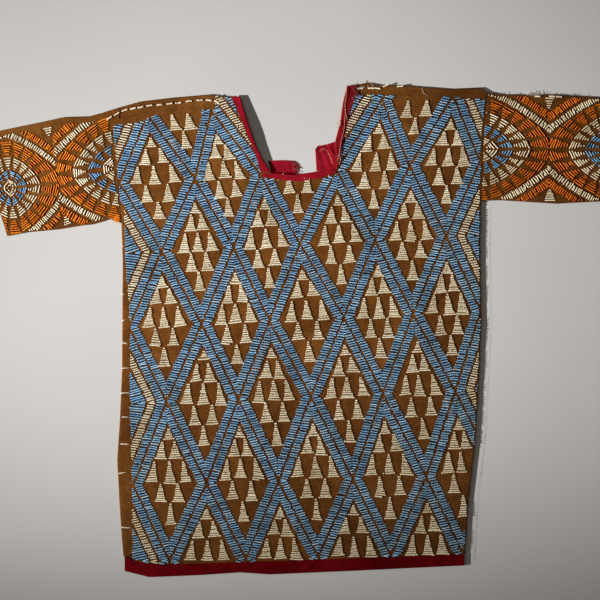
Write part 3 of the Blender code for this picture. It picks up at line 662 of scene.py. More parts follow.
def split_in_four(points: np.ndarray, triangles: np.ndarray) -> tuple[np.ndarray, np.ndarray]:
    """Splits every triangle in four at the middles of its sides."""
    sides = np.concatenate([triangles[:, [0, 1]], triangles[:, [1, 2]], triangles[:, [2, 0]]])
    unique, index = np.unique(np.sort(sides, axis=1), axis=0, return_inverse=True)
    middles = points[unique].mean(axis=1)
    first, second, third = (index.reshape(3, -1) + len(points))
    a, b, c = triangles.T
    corners = ((a, first, third), (first, b, second), (third, second, c), (first, second, third))
    return np.concatenate([points, middles]), np.concatenate([np.stack(row, axis=1) for row in corners])


@dataclass
class ClothPiece:
    """A piece of the tunic's cloth: a thin sheet cut to an outline and laid on its solid's form."""

    name: str
    nodes: tuple[str, ...]
    finish: CottonFinish
    slot: Slot
    wall: float
    spacing: float = 15.0
    splits: int = 2
    bend: Bend = Bend(0.5, math.pi / 2)

    @property
    def start(self) -> float:
        """How far inside an edge the cloth's bend starts."""
        return self.bend.radius + self.wall

    def outline(self) -> Polygon:
        """The outline that the piece was cut to."""
        raise NotImplementedError

    def creases(self) -> list[Polygon]:
        """The lines of the piece's bends."""
        return []

    def lay(self, x: np.ndarray, y: np.ndarray, height: float) -> np.ndarray:
        """Where points of the cut lie, at a height above the cloth's inner side."""
        raise NotImplementedError

    def flat_sheet(self) -> tuple[np.ndarray, np.ndarray, np.ndarray]:
        """The cut as triangles: its points, the triangles, and the sides of its edge."""
        outline = self.outline()
        points: Polygon = []
        sides: list[tuple[int, int]] = []
        for line in [outline, *self.creases()]:
            first, closed = len(points), line is outline
            points.extend(line)
            sides.extend((first + index, first + (index + 1) % len(line))
                         for index in range(len(line) if closed else len(line) - 1))
        low, high = np.min(outline, axis=0) + self.spacing / 2, np.max(outline, axis=0)
        columns, rows = (np.arange(low[axis], high[axis], self.spacing) for axis in (0, 1))
        inner = np.array([(x, y) for x in columns for y in rows]).reshape(-1, 2)
        inner = inner[inside_outline(inner, outline) & clear_of_edge(inner, outline, self.spacing / 6)]
        points.extend(map(tuple, inner))
        keep_inside, tolerance = 1, 1e-5
        result = delaunay_2d_cdt([Vector(point) for point in points], sides, [], keep_inside, tolerance)
        flat, triangles = np.array([tuple(point) for point in result[0]]), np.array(result[2])
        for _ in range(self.splits):
            flat, triangles = split_in_four(flat, triangles)
        ends = np.concatenate([triangles[:, [0, 1]], triangles[:, [1, 2]], triangles[:, [2, 0]]])
        _, first_use, uses = np.unique(np.sort(ends, axis=1), axis=0, return_index=True, return_counts=True)
        return flat, triangles, ends[first_use[uses == 1]]

    def build(self) -> bpy.types.Object:
        flat, triangles, rim = self.flat_sheet()
        outer = self.lay(flat[:, 0], flat[:, 1], self.wall)
        inner = self.lay(flat[:, 0], flat[:, 1], 0.0)
        count = len(flat)
        faces = [triangles, triangles[:, ::-1] + count]
        faces.append(np.stack([rim[:, 1], rim[:, 0], rim[:, 0] + count], axis=1))
        faces.append(np.stack([rim[:, 1], rim[:, 0] + count, rim[:, 1] + count], axis=1))
        piece = mesh_object(self.name, np.concatenate([outer, inner]), np.concatenate(faces),
                            self.finish.material())
        piece.data.set_sharp_from_angle(angle=math.radians(SHARP_DEGREES))
        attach(piece, "root")
        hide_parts(*self.nodes)
        LOG.info("%s: %d triangles", self.name, len(piece.data.polygons))
        return piece

    def declare(self, piece: bpy.types.Object, with_pieces: Iterable[bpy.types.Object] = (),
                rests_on: Iterable[str] = ()) -> None:
        """Works out the piece's outline and area, and keeps neither."""
        outline = np.array(self.outline())
        abs(area_of(self.outline())) * MM * MM


@dataclass
class FrontPanel(ClothPiece):
    """The beaded front. Its right edge turns down over the garment's side."""

    drop: float = 1.2
    slit: float = 0.4
    armhole_tops: Point = (300.0, 334.0)
    right_strip_ends: Point = (268.0, 66.0)
    left_strip_ends: Point = (-125.0, -264.0)
    left_neck_top: float = 339.0
    right_neck_top: float = 338.0

    def outline(self) -> Polygon:
        """The outline that the front was cut to."""
        cut, armpit = CUT, CUT.right_armpit - self.slit
        left_hem = cut.left_seam.point(cut.panel_hem)[0] + cut.seam
        turned = self.bend.length + self.drop - self.start
        outline = cut.hem_top.run(left_hem, cut.hem_ends[1] - self.start, cut.seam)
        outline += cut.right_side.run(cut.panel_hem + cut.seam, armpit, turned)
        outline += [cut.right_side.point(armpit, -self.start)]
        outline += cut.right_armhole.run(cut.right_armpit, self.armhole_tops[1] - cut.seam, -cut.seam)
        start, stop = self.right_strip_ends
        outline += cut.right_strip.run(start, stop + cut.neck_tuck, -cut.seam)
        outline += cut.neck_line(self.right_neck_top)
        start, stop = self.left_strip_ends
        outline += [(start + cut.seam, self.left_neck_top - cut.seam)]
        outline += cut.left_strip.run(start + cut.seam, stop, -cut.seam)
        outline += cut.left_armhole.run(self.armhole_tops[0], cut.left_armpit + cut.seam, cut.seam)
        return outline + cut.left_seam.run(cut.left_armpit + cut.seam, cut.panel_hem, cut.seam)

    def creases(self) -> list[Polygon]:
        """The lines of the right side's roll."""
        edge = CUT.right_side.run(CUT.panel_hem + CUT.seam, CUT.right_armpit - self.slit, -self.start)
        return self.bend.lines(edge, (1, 0))

    def lay(self, x: np.ndarray, y: np.ndarray, height: float) -> np.ndarray:
        """Where points of the cut lie, at a height above the cloth's inner side."""
        in_side = y < CUT.right_armpit - self.slit / 2
        along, level, _ = self.bend.across(x, CUT.right_side.at(y) - self.start, 1, height, in_side)
        return as_points(along, y, CUT.front_rest + GROUND.lift(along, y) + level)


@dataclass
class BackPanel(ClothPiece):
    """The plain back. It wraps round the left side and over both shoulders as narrow strips."""

    bend: Bend = Bend(CUT.fold_radius, math.pi)
    slit: float = 0.4
    left_strip_ends: Point = (-262.0, -125.0)
    right_strip_ends: Point = (81.0, 267.0)
    armhole_tops: Point = (321.0, 343.0)
    neck_tops: tuple[Point, Point] = ((-124.5, 337.0), (80.0, 353.0))
    side_fold_end: float = -329.0

    def side_flap(self, y: float) -> Point:
        """Where the edge of the side strip was cut."""
        across = 2 * float(CUT.left_side.at(y)) + 2 * self.start
        return (across - self.bend.length - float(CUT.left_seam.at(y)), y)

    def shoulder_flap(self, shoulder: Edge, strip: Edge, x: float) -> Point:
        """Where the edge of a shoulder strip was cut."""
        return (x, 2 * float(shoulder.at(x)) - 2 * self.start + self.bend.length - float(strip.at(x)))

    def outline(self) -> Polygon:
        """The outline that the back was cut to."""
        cut, armpit = CUT, CUT.left_armpit - self.slit
        left, right = self.left_strip_ends, self.right_strip_ends
        hem_left, hem_right = cut.hem_ends[0] + self.start, cut.hem_ends[1] - self.start - cut.seam
        outline = cut.hem_top.run(hem_left, hem_right, cut.seam)
        outline += cut.right_side.run(cut.panel_hem + cut.seam, cut.right_armpit - self.slit,
                                      -self.start - cut.seam)
        outline += cut.right_armhole.run(cut.right_armpit, self.armhole_tops[1], -cut.seam)
        outline += [cut.right_shoulder.point(right[1], -self.start)]
        outline += [self.shoulder_flap(cut.right_shoulder, cut.right_strip, x)
                    for x in knots(right[1], right[0], cut.right_shoulder, cut.right_strip)]
        outline += [cut.right_shoulder.point(right[0], -self.start), self.neck_tops[1]]
        outline += cut.neck_line(self.neck_tops[1][1] - 1)
        outline += [self.neck_tops[0], cut.left_shoulder.point(left[1], -self.start)]
        outline += [self.shoulder_flap(cut.left_shoulder, cut.left_strip, x)
                    for x in knots(left[1], left[0], cut.left_shoulder, cut.left_strip)]
        outline += [cut.left_shoulder.point(left[0], -self.start)]
        outline += cut.left_armhole.run(self.armhole_tops[0], cut.left_armpit, cut.seam)
        outline += [cut.left_side.point(armpit, self.start)]
        strip = knots(armpit, cut.panel_hem, cut.left_side, cut.left_seam)
        return outline + [self.side_flap(y) for y in strip]

    def creases(self) -> list[Polygon]:
        """The lines of the side's and the shoulders' folds."""
        side = CUT.left_side.run(self.side_fold_end + CUT.seam, CUT.left_armpit - self.slit, self.start)
        lines = self.bend.lines(side, (-1, 0))
        lines += self.bend.lines(CUT.left_shoulder.run(*self.left_strip_ends, -self.start), (0, 1))
        return lines + self.bend.lines(CUT.right_shoulder.run(*self.right_strip_ends, -self.start), (0, 1))

    def lay(self, x: np.ndarray, y: np.ndarray, height: float) -> np.ndarray:
        """Where points of the cut lie, at a height above the cloth's inner side."""
        in_side = y < CUT.left_armpit - self.slit / 2
        along, level, past_side = self.bend.across(x, CUT.left_side.at(y) + self.start, -1, height, in_side)
        top = np.where(x < 0, CUT.left_shoulder.at(x), CUT.right_shoulder.at(x)) - self.start
        in_strip = np.zeros(x.shape, bool)
        for low, high in (self.left_strip_ends, self.right_strip_ends):
            in_strip |= (x > low - self.slit) & (x < high + self.slit / 4)
        upward, top_level, past_top = self.bend.across(y, top, 1, height, in_strip)
        folded = (past_side > self.bend.length) | (past_top > self.bend.length)
        rise = np.where(folded, GROUND.lift(along, upward), 0.0)
        return as_points(along, upward, self.wall + rise - np.where(past_top > 0, top_level, level))


def knots(start: float, stop: float, *edges: Edge) -> list[float]:
    """The places between two ends where any of some edges bends, with the ends, in order."""
    low, high = min(start, stop), max(start, stop)
    between = {place for edge in edges for place, _ in edge.places if low < place < high}
    return [start, *sorted(between, reverse=start > stop), stop]


@dataclass
class Sleeve(ClothPiece):
    """A sleeve folded along its top: its beaded front layer and its plain back layer."""

    top: Edge = Edge(((0.0, 0.0),))
    bottom: Edge = Edge(((0.0, 0.0),))
    cuff: Edge = Edge(((0.0, 0.0),), True)
    armhole: Edge = Edge(((0.0, 0.0),), True)
    bead_edge: Edge = Edge(((0.0, 0.0),), True)
    outward: int = 1
    top_margin: float = 4.0
    bend: Bend = Bend(CUT.fold_radius, math.pi)
    end_gap: float = 1.0

    def front_half(self) -> Polygon:
        """The cut's edge round the front layer, from the top of the armhole to the top of the cuff."""
        low, high = self.armhole.places[0][0] + self.end_gap, self.armhole.places[-1][0] - self.end_gap
        arm = self.armhole.run(low, high - self.start, self.outward * CUT.seam)
        end = self.cuff.run(self.cuff.places[0][0], self.cuff.places[-1][0] - self.start)
        hem = self.bottom.run(self.bottom.places[0][0], self.bottom.places[-1][0])[1:-1]
        return arm[::-1] + hem[::self.outward] + end

    def outline(self) -> Polygon:
        """The outline that the sleeve was cut to."""
        half = self.front_half()
        outline = half + [(x, 2 * (float(self.top.at(x)) - self.start) + self.bend.length - y)
                          for x, y in reversed(half)]
        return outline if area_of(outline) > 0 else outline[::-1]

    def creases(self) -> list[Polygon]:
        """The lines of the top's fold."""
        half = self.front_half()
        ends = sorted((half[0][0], half[-1][0]))
        return self.bend.lines(self.top.run(ends[0], ends[1], -self.start), (0, 1))

    def lay(self, x: np.ndarray, y: np.ndarray, height: float) -> np.ndarray:
        """Where points of the cut lie, at a height above the cloth's inner side."""
        upward, level, past = self.bend.across(y, self.top.at(x) - self.start, 1, height)
        rise = np.where(past > 0, 0.0, GROUND.lift(x, upward))
        return as_points(x, upward, CUT.front_rest + rise + level)

    def trim(self, polygon: Polygon) -> Polygon:
        """What is left of a convex polygon inside the sleeve's beaded field."""
        for edge, side, margin in ((self.top, -1, self.top_margin), (self.bottom, 1, CUT.edge_margin),
                                   (self.bead_edge, self.outward, CUT.edge_margin),
                                   (self.cuff, -self.outward, CUT.edge_margin)):
            polygon = edge.trim(polygon, side, margin)
            if not polygon:
                return []
        return polygon


@dataclass
class SideBinding(ClothPiece):
    """A binding on a side of the neck, which turns down over the cloth's cut edge."""

    neck: Edge = CUT.neck_left
    outer: Edge = CUT.binding_left
    ends: Point = (228.6, 338.0)
    way: int = 1
    bend: Bend = Bend(0.4, math.pi / 2)
    drop: float = 1.6

    def outline(self) -> Polygon:
        """The outline that the binding was cut to."""
        low, high = self.ends
        outline = self.outer.run(low, high)
        outline += self.neck.run(high, low, self.way * (self.bend.length + self.drop - self.start))
        return outline if area_of(outline) > 0 else outline[::-1]

    def creases(self) -> list[Polygon]:
        """The lines of the lip's bend."""
        return self.bend.lines(self.neck.run(*self.ends, -self.way * self.start), (self.way, 0))

    def lay(self, x: np.ndarray, y: np.ndarray, height: float) -> np.ndarray:
        """Where points of the cut lie, at a height above the cloth's inner side."""
        edge = self.neck.at(y) - self.way * self.start
        along, level, _ = self.bend.across(x, edge, self.way, height)
        return as_points(along, y, CUT.binding_rest + GROUND.lift(along, y) + level)


@dataclass
class FrontBinding(ClothPiece):
    """The binding along the bottom of the neck, which turns down over the cut edge between the corners."""

    ends: Point = (-57.0, 50.0)
    lip_ends: Point = (-41.0, 48.0)
    bend: Bend = Bend(0.4, math.pi / 2)
    drop: float = 1.6

    def outline(self) -> Polygon:
        """The outline that the binding was cut to."""
        reach = self.bend.length + self.drop - self.start
        outline = CUT.binding_front.run(*self.ends)
        outline += CUT.neck_front.run(self.ends[1], self.lip_ends[1], -self.start)
        outline += CUT.neck_front.run(self.lip_ends[1], self.lip_ends[0], reach)
        return outline + CUT.neck_front.run(self.lip_ends[0], self.ends[0], -self.start)

    def creases(self) -> list[Polygon]:
        """The lines of the lip's bend."""
        return self.bend.lines(CUT.neck_front.run(*self.lip_ends, -self.start), (0, 1))

    def lay(self, x: np.ndarray, y: np.ndarray, height: float) -> np.ndarray:
        """Where points of the cut lie, at a height above the cloth's inner side."""
        upward, level, _ = self.bend.across(y, CUT.neck_front.at(x) - self.start, 1, height)
        return as_points(x, upward, CUT.binding_rest + GROUND.lift(x, upward) + level)


@dataclass
class FlatPiece(ClothPiece):
    """A piece of cloth with no bend, at a height, that may follow the front's creases."""

    edge: tuple[Point, ...] = ()
    rest: float = 0.0
    follows: bool = False

    def outline(self) -> Polygon:
        """The outline that the piece was cut to."""
        return list(self.edge)

    def lay(self, x: np.ndarray, y: np.ndarray, height: float) -> np.ndarray:
        """Where points of the cut lie, at a height above the cloth's inner side."""
        rise = GROUND.lift(x, y) if self.follows else 0.0
        return as_points(x, y, self.rest + rise + height)


@dataclass
class FoldedEnd(ClothPiece):
    """The loose end of the binding in the neck's lower right corner, with its tip curled up."""

    tip: Point = (20.0, 264.0)
    reach: float = 20.0
    curl: float = 2.2
    ripple: float = 0.25
    ripple_turns: Point = (0.55, 0.18)
    front_ends: Point = (22.0, 49.0)
    side_ends: Point = (233.0, 273.0)

    def outline(self) -> Polygon:
        """The outline that the end was cut to."""
        outline = CUT.neck_front.run(*self.front_ends, CUT.seam)
        return outline + CUT.neck_right.run(*self.side_ends, -CUT.seam) + list(CUT.flap_top)

    def lay(self, x: np.ndarray, y: np.ndarray, height: float) -> np.ndarray:
        """Where points of the cut lie, at a height above the cloth's inner side."""
        away = np.hypot(x - self.tip[0], y - self.tip[1])
        curl = self.curl * np.clip(1 - away / self.reach, 0, 1) ** 2
        ripple = self.ripple * (1 + np.sin(x * self.ripple_turns[0] + y * self.ripple_turns[1]))
        return as_points(x, y, CUT.wall + CUT.seam + curl + ripple + height)


class BeadColour(Enum):
    """The beads' colours, each with its finish and its slot."""

    BLUE = (BLUE_GLASS, Slot.BLUE_BEADS)
    CREAM = (CREAM_GLASS, Slot.CREAM_BEADS)
    ORANGE = (ORANGE_GLASS, Slot.ORANGE_BEADS)

    @property
    def finish(self) -> BeadFinish:
        """The colour's finish."""
        return self.value[0]

    @property
    def slot(self) -> Slot:
        """The slot for the colour."""
        return self.value[1]


@dataclass(frozen=True)
class SeedBead:
    """The size of one bead and how rows of them are sewn down."""

    radius: float = 1.06
    length: float = 1.70
    row_pitch: float = 3.60
    sink: float = 0.46
    flatness: float = 0.72
    end_share: float = 0.62
    # The painted shade strips between rows: their lift above the cloth, how far their ends stay in, and their
    # tone.
    shade_strip_lift: float = 0.14
    shade_strip_inset: float = 0.35
    shade_strip_tone: float = 0.0
    least_tone: float = 0.06
    shortest_row: float = 0.9
    level_spread: float = 0.10
    end_spread: float = 0.50
    flared_end_spread: float = 0.35
    tilt_spread: float = 0.22
    bow_spread: float = 0.28
    loose_spread: float = 0.14
    size_spread: float = 0.055
    row_tone_spread: float = 0.15
    tone_spread: float = 0.11
    missing_share: float = 0.002
    end_place: float = 0.98
    arch_degrees: tuple[float, ...] = (-18.0, 36.0, 90.0, 144.0, 198.0)


# Triangle beads, whose painted shade strips are a touch lighter than the lanes'.
CLOSE_BEAD = SeedBead(radius=1.25, shade_strip_tone=0.018)
LOOSE_BEAD = SeedBead(radius=1.20, shade_strip_tone=0.008)
STITCH_BEAD = SeedBead(radius=1.40)


@dataclass
class BeadSewing:
    """Rows of beads of one colour, gathered and then made as one mesh."""

    name: str
    colour: BeadColour
    seed: int
    bead: SeedBead = SeedBead()
    tone: float = 0.60
    starts: list[Point] = field(default_factory=list)
    stops: list[Point] = field(default_factory=list)
    # The corners of the painted shade strips, one strip between each pair of neighbouring rows.
    shade_strip_corners: list[tuple[Point, Point, Point, Point]] = field(default_factory=list)

    def __post_init__(self) -> None:
        """Starts the row's own draw of random values."""
        self.draw = np.random.default_rng(self.seed)

    def row(self, start: Point, stop: Point) -> None:
        """Adds one row from end to end."""
        self.starts.append(start)
        self.stops.append(stop)

    def fill(self, polygon: Polygon, way: Sequence[float], pitch: float | None = None,
             flare: float = 0.0) -> None:
        """Fills a convex polygon with rows that run one way.

        Args:
            polygon: the shape's corners.
            way: the rows' direction.
            pitch: the distance between rows, or None for the bead's own.
            flare: how far the first row runs out past the shape, whose other rows draw in a little.
        """
        bead, corners = self.bead, np.array(polygon)
        along = np.array(way) / np.linalg.norm(way)
        across = np.array((-along[1], along[0]))
        reach = corners @ across
        low, high = float(reach.min()), float(reach.max())
        count = max(1, round((high - low) / (pitch or bead.row_pitch)))
        step = (high - low) / count
        before = len(self.starts)
        for index in range(count):
            level = low + (index + 0.5) * step + self.draw.normal(0, bead.level_spread)
            meets = []
            for here, there in zip(corners, np.roll(corners, -1, axis=0)):
                near, far = here @ across - level, there @ across - level
                if near * far < 0:
                    meets.append(float((here + (there - here) * near / (near - far)) @ along))
            if len(meets) < 2 or max(meets) - min(meets) < bead.shortest_row:
                continue
            ragged = self.draw.normal(0, bead.flared_end_spread if flare else bead.end_spread, 2)
            tilt = self.draw.normal(0, bead.tilt_spread, 2)
            drawn_in = -flare if index == 0 else flare * 0.5 * math.sin(math.pi * (index + 0.5) / count)
            first = along * (min(meets) + drawn_in + ragged[0]) + across * (level + tilt[0])
            last = along * (max(meets) - drawn_in + ragged[1]) + across * (level + tilt[1])
            self.row((float(first[0]), float(first[1])), (float(last[0]), float(last[1])))
        # A strip of painted shade fills each gap between neighbouring rows.
        inset = along * bead.shade_strip_inset
        ends = [(np.array(start) + inset, np.array(stop) - inset)
                for start, stop in zip(self.starts[before:], self.stops[before:])]
        for (start, stop), (next_start, next_stop) in zip(ends, ends[1:]):
            self.shade_strip_corners.append((start, stop, next_stop, next_start))

    def painted_shade_strips(self) -> tuple[np.ndarray, np.ndarray]:
        """Flat strips of painted shade that fill the gaps between a shape's rows, as points and faces."""
        if not self.shade_strip_corners:
            return np.empty((0, 3)), np.empty((0, 4), int)
        corners = np.array(self.shade_strip_corners).reshape(-1, 2)
        height = GROUND.top(corners[:, 0], corners[:, 1]) + self.bead.shade_strip_lift
        return np.concatenate([corners, height[:, None]], axis=1), np.arange(len(corners)).reshape(-1, 4)

    def beads(self) -> tuple[np.ndarray, np.ndarray, np.ndarray, np.ndarray, np.ndarray]:
        """Places the beads along the rows.

        Returns:
            Middles, directions, half lengths, radii and tones, one row each.
        """
        bead, start, stop = self.bead, np.array(self.starts), np.array(self.stops)
        lengths = np.linalg.norm(stop - start, axis=1)
        counts = np.maximum(1, np.round(lengths / bead.length)).astype(int)
        row = np.repeat(np.arange(len(counts)), counts)
        place = np.arange(len(row)) - np.repeat(np.cumsum(counts) - counts, counts)
        share = (place + 0.5) / counts[row]
        way = (stop - start)[row] / np.maximum(lengths[row], 0.1)[:, None]
        across = np.stack([-way[:, 1], way[:, 0]], axis=1)
        bow = self.draw.normal(0, bead.bow_spread, len(counts))[row] * 4 * share * (1 - share)
        middle = start[row] + (stop - start)[row] * share[:, None] + across * bow[:, None]
        half = lengths[row] / counts[row] / 2
        before, after = middle - way * half[:, None], middle + way * half[:, None]
        rise = GROUND.top(after[:, 0], after[:, 1]) - GROUND.top(before[:, 0], before[:, 1])
        radius = bead.radius * self.draw.normal(1.0, bead.size_spread, len(row))
        loose = np.abs(self.draw.normal(0, bead.loose_spread, len(counts)))[row]
        height = GROUND.top(middle[:, 0], middle[:, 1]) + radius * bead.sink + loose
        direction = np.concatenate([way * 2 * half[:, None], rise[:, None]], axis=1)
        direction /= np.linalg.norm(direction, axis=1)[:, None]
        tone = self.draw.normal(self.tone, bead.row_tone_spread, len(counts))[row]
        tone += self.draw.normal(0, bead.tone_spread, len(row))
        kept = self.draw.random(len(row)) > bead.missing_share
        middles = np.concatenate([middle, height[:, None]], axis=1)
        return middles[kept], direction[kept], half[kept], radius[kept], np.clip(tone[kept], 0, 1)

    def build(self) -> bpy.types.Object:
        """Makes the rows' beads as one mesh that rides on the garment."""
        bead, (middles, direction, half, radius, tone) = self.bead, self.beads()
        up = np.array((0.0, 0.0, 1.0))
        aside = np.cross(direction, up)
        aside /= np.linalg.norm(aside, axis=1)[:, None]
        over = np.cross(aside, direction)
        angles = np.radians(bead.arch_degrees)
        rings = ((-bead.end_place, bead.end_share), (0.0, 1.0), (bead.end_place, bead.end_share))
        points = []
        for along, share in rings:
            for angle in angles:
                offset = math.cos(angle) * aside + math.sin(angle) * bead.flatness * over
                points.append(middles + direction * (along * half)[:, None]
                              + offset * (share * radius)[:, None])
        points = np.stack(points, axis=1)
        steps = len(angles)
        pattern = [(ring * steps + index, (ring + 1) * steps + index,
                    (ring + 1) * steps + index + 1, ring * steps + index + 1)
                   for ring in range(len(rings) - 1) for index in range(steps - 1)]
        size = len(rings) * steps
        faces = np.array(pattern)[None] + (np.arange(len(middles)) * size)[:, None, None]
        # The painted shade strips go in the same mesh as the beads.
        strip_points, strip_faces = self.painted_shade_strips()
        points = np.concatenate([points.reshape(-1, 3), strip_points])
        faces = np.concatenate([faces.reshape(-1, 4), strip_faces + len(middles) * size])
        tones = np.concatenate([np.repeat(np.maximum(tone, bead.least_tone), size),
                                np.full(len(strip_points), bead.shade_strip_tone)])
        piece = mesh_object(self.name, points, faces, self.colour.finish.material(), tones)
        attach(piece, "root")
        LOG.info("%s: %d beads, %d triangles", self.name, len(middles), 2 * len(piece.data.polygons))
        return piece


@dataclass(frozen=True)
class Diamond:
    """A diamond of the bead lattice.

    Its corners are left, bottom, right and top. Sides with a chevron are those of a half diamond at the
    garment's side, and the one that the neck leaves of a diamond. They go on past their ends, by how much
    is said for the first and the last end. The placing is its triangles' spread and lean.
    """

    corners: tuple[np.ndarray, ...]
    chevron_sides: dict[int, Point] = field(default_factory=dict)
    is_half: bool = False
    placing: Point | None = None
    pulled: float = 0.6

    def moved_in(self, distance: float) -> list[np.ndarray]:
        """The corners with every side moved in by a distance."""
        lines = []
        for here, there in zip(self.corners, self.corners[1:] + self.corners[:1]):
            along = (there - here) / np.linalg.norm(there - here)
            lines.append((here + np.array((-along[1], along[0])) * distance, along))
        moved = []
        for (point, along), (other, way) in zip(lines[-1:] + lines[:-1], lines):
            share = np.linalg.solve(np.array((along, -way)).T, other - point)[0]
            moved.append(point + share * along)
        return moved

    @property
    def level(self) -> np.ndarray:
        """The way from the left corner to the right one."""
        way = self.corners[2] - self.corners[0]
        return way / np.linalg.norm(way)

    def lane(self, edges: Point, side: int, longer: Point = (0.0, 0.0)) -> Polygon:
        """The lane inside one side, mitred at its ends.

        Args:
            edges: how far its two edges lie inside the side.
            side: the side's number.
            longer: how much further than the mitres its first and its last end go.

        Returns:
            The lane's corners.
        """
        outer, inner = self.moved_in(edges[0]), self.moved_in(edges[1])
        after = (side + 1) % 4
        along = (outer[after] - outer[side]) / np.linalg.norm(outer[after] - outer[side])
        lane = (outer[side] - along * longer[0], outer[after] + along * longer[1],
                inner[after] + along * longer[1], inner[side] - along * longer[0])
        return [tuple(map(float, point)) for point in lane]

    def row_way(self, side: int) -> np.ndarray:
        """The way the bead rows of a lane run: between level and square to the lane."""
        along = self.corners[(side + 1) % 4] - self.corners[side]
        square = np.array((-along[1], along[0])) / np.linalg.norm(along)
        if square @ self.level < 0:
            square = -square
        level_share, square_share = 0.56, 0.44
        way = level_share * self.level + square_share * square
        return way / np.linalg.norm(way)

    def centre(self, place: float) -> np.ndarray:
        """The point half way between the sides at a share of the way from the top corner to the bottom."""
        left, bottom, right, top = self.corners
        pull = float((left + right - top - bottom)[0]) / 2
        return top + place * (bottom - top) + np.array((4 * place * (1 - place) * self.pulled * pull, 0.0))

    def triangle(self, tip_place: float, base_place: float, tip_aside: float, base_aside: float,
                 width: float) -> Polygon:
        """One bead triangle.

        Args:
            tip_place: where its point lies, as a share of the way from the top corner to the bottom.
            base_place: where its base lies, as the same share.
            tip_aside: how far its point lies to the right of that way, as a share of the width.
            base_aside: how far its base lies to the right, as the same share.
            width: the base's width.

        Returns:
            Its corners, with the point cut off by a bead's length.
        """
        right_left = self.corners[2] - self.corners[0]
        tip = self.centre(tip_place) + tip_aside * right_left
        base = self.centre(base_place) + base_aside * right_left
        point, spread = self.level * HALF_TIP, self.level * width / 2
        corners = (base - spread, base + spread, tip + point, tip - point)
        return [tuple(map(float, corner)) for corner in corners]


@dataclass(frozen=True)
class Unevenness:
    """How far the sewn triangles stray from an even layout, as the spreads of random draws."""

    width: float = 0.06
    spread: float = 0.05
    lean: float = 0.008
    shift: float = 0.008
    base_place: float = 0.005
    base_shift: float = 0.006
    turn: float = 0.05


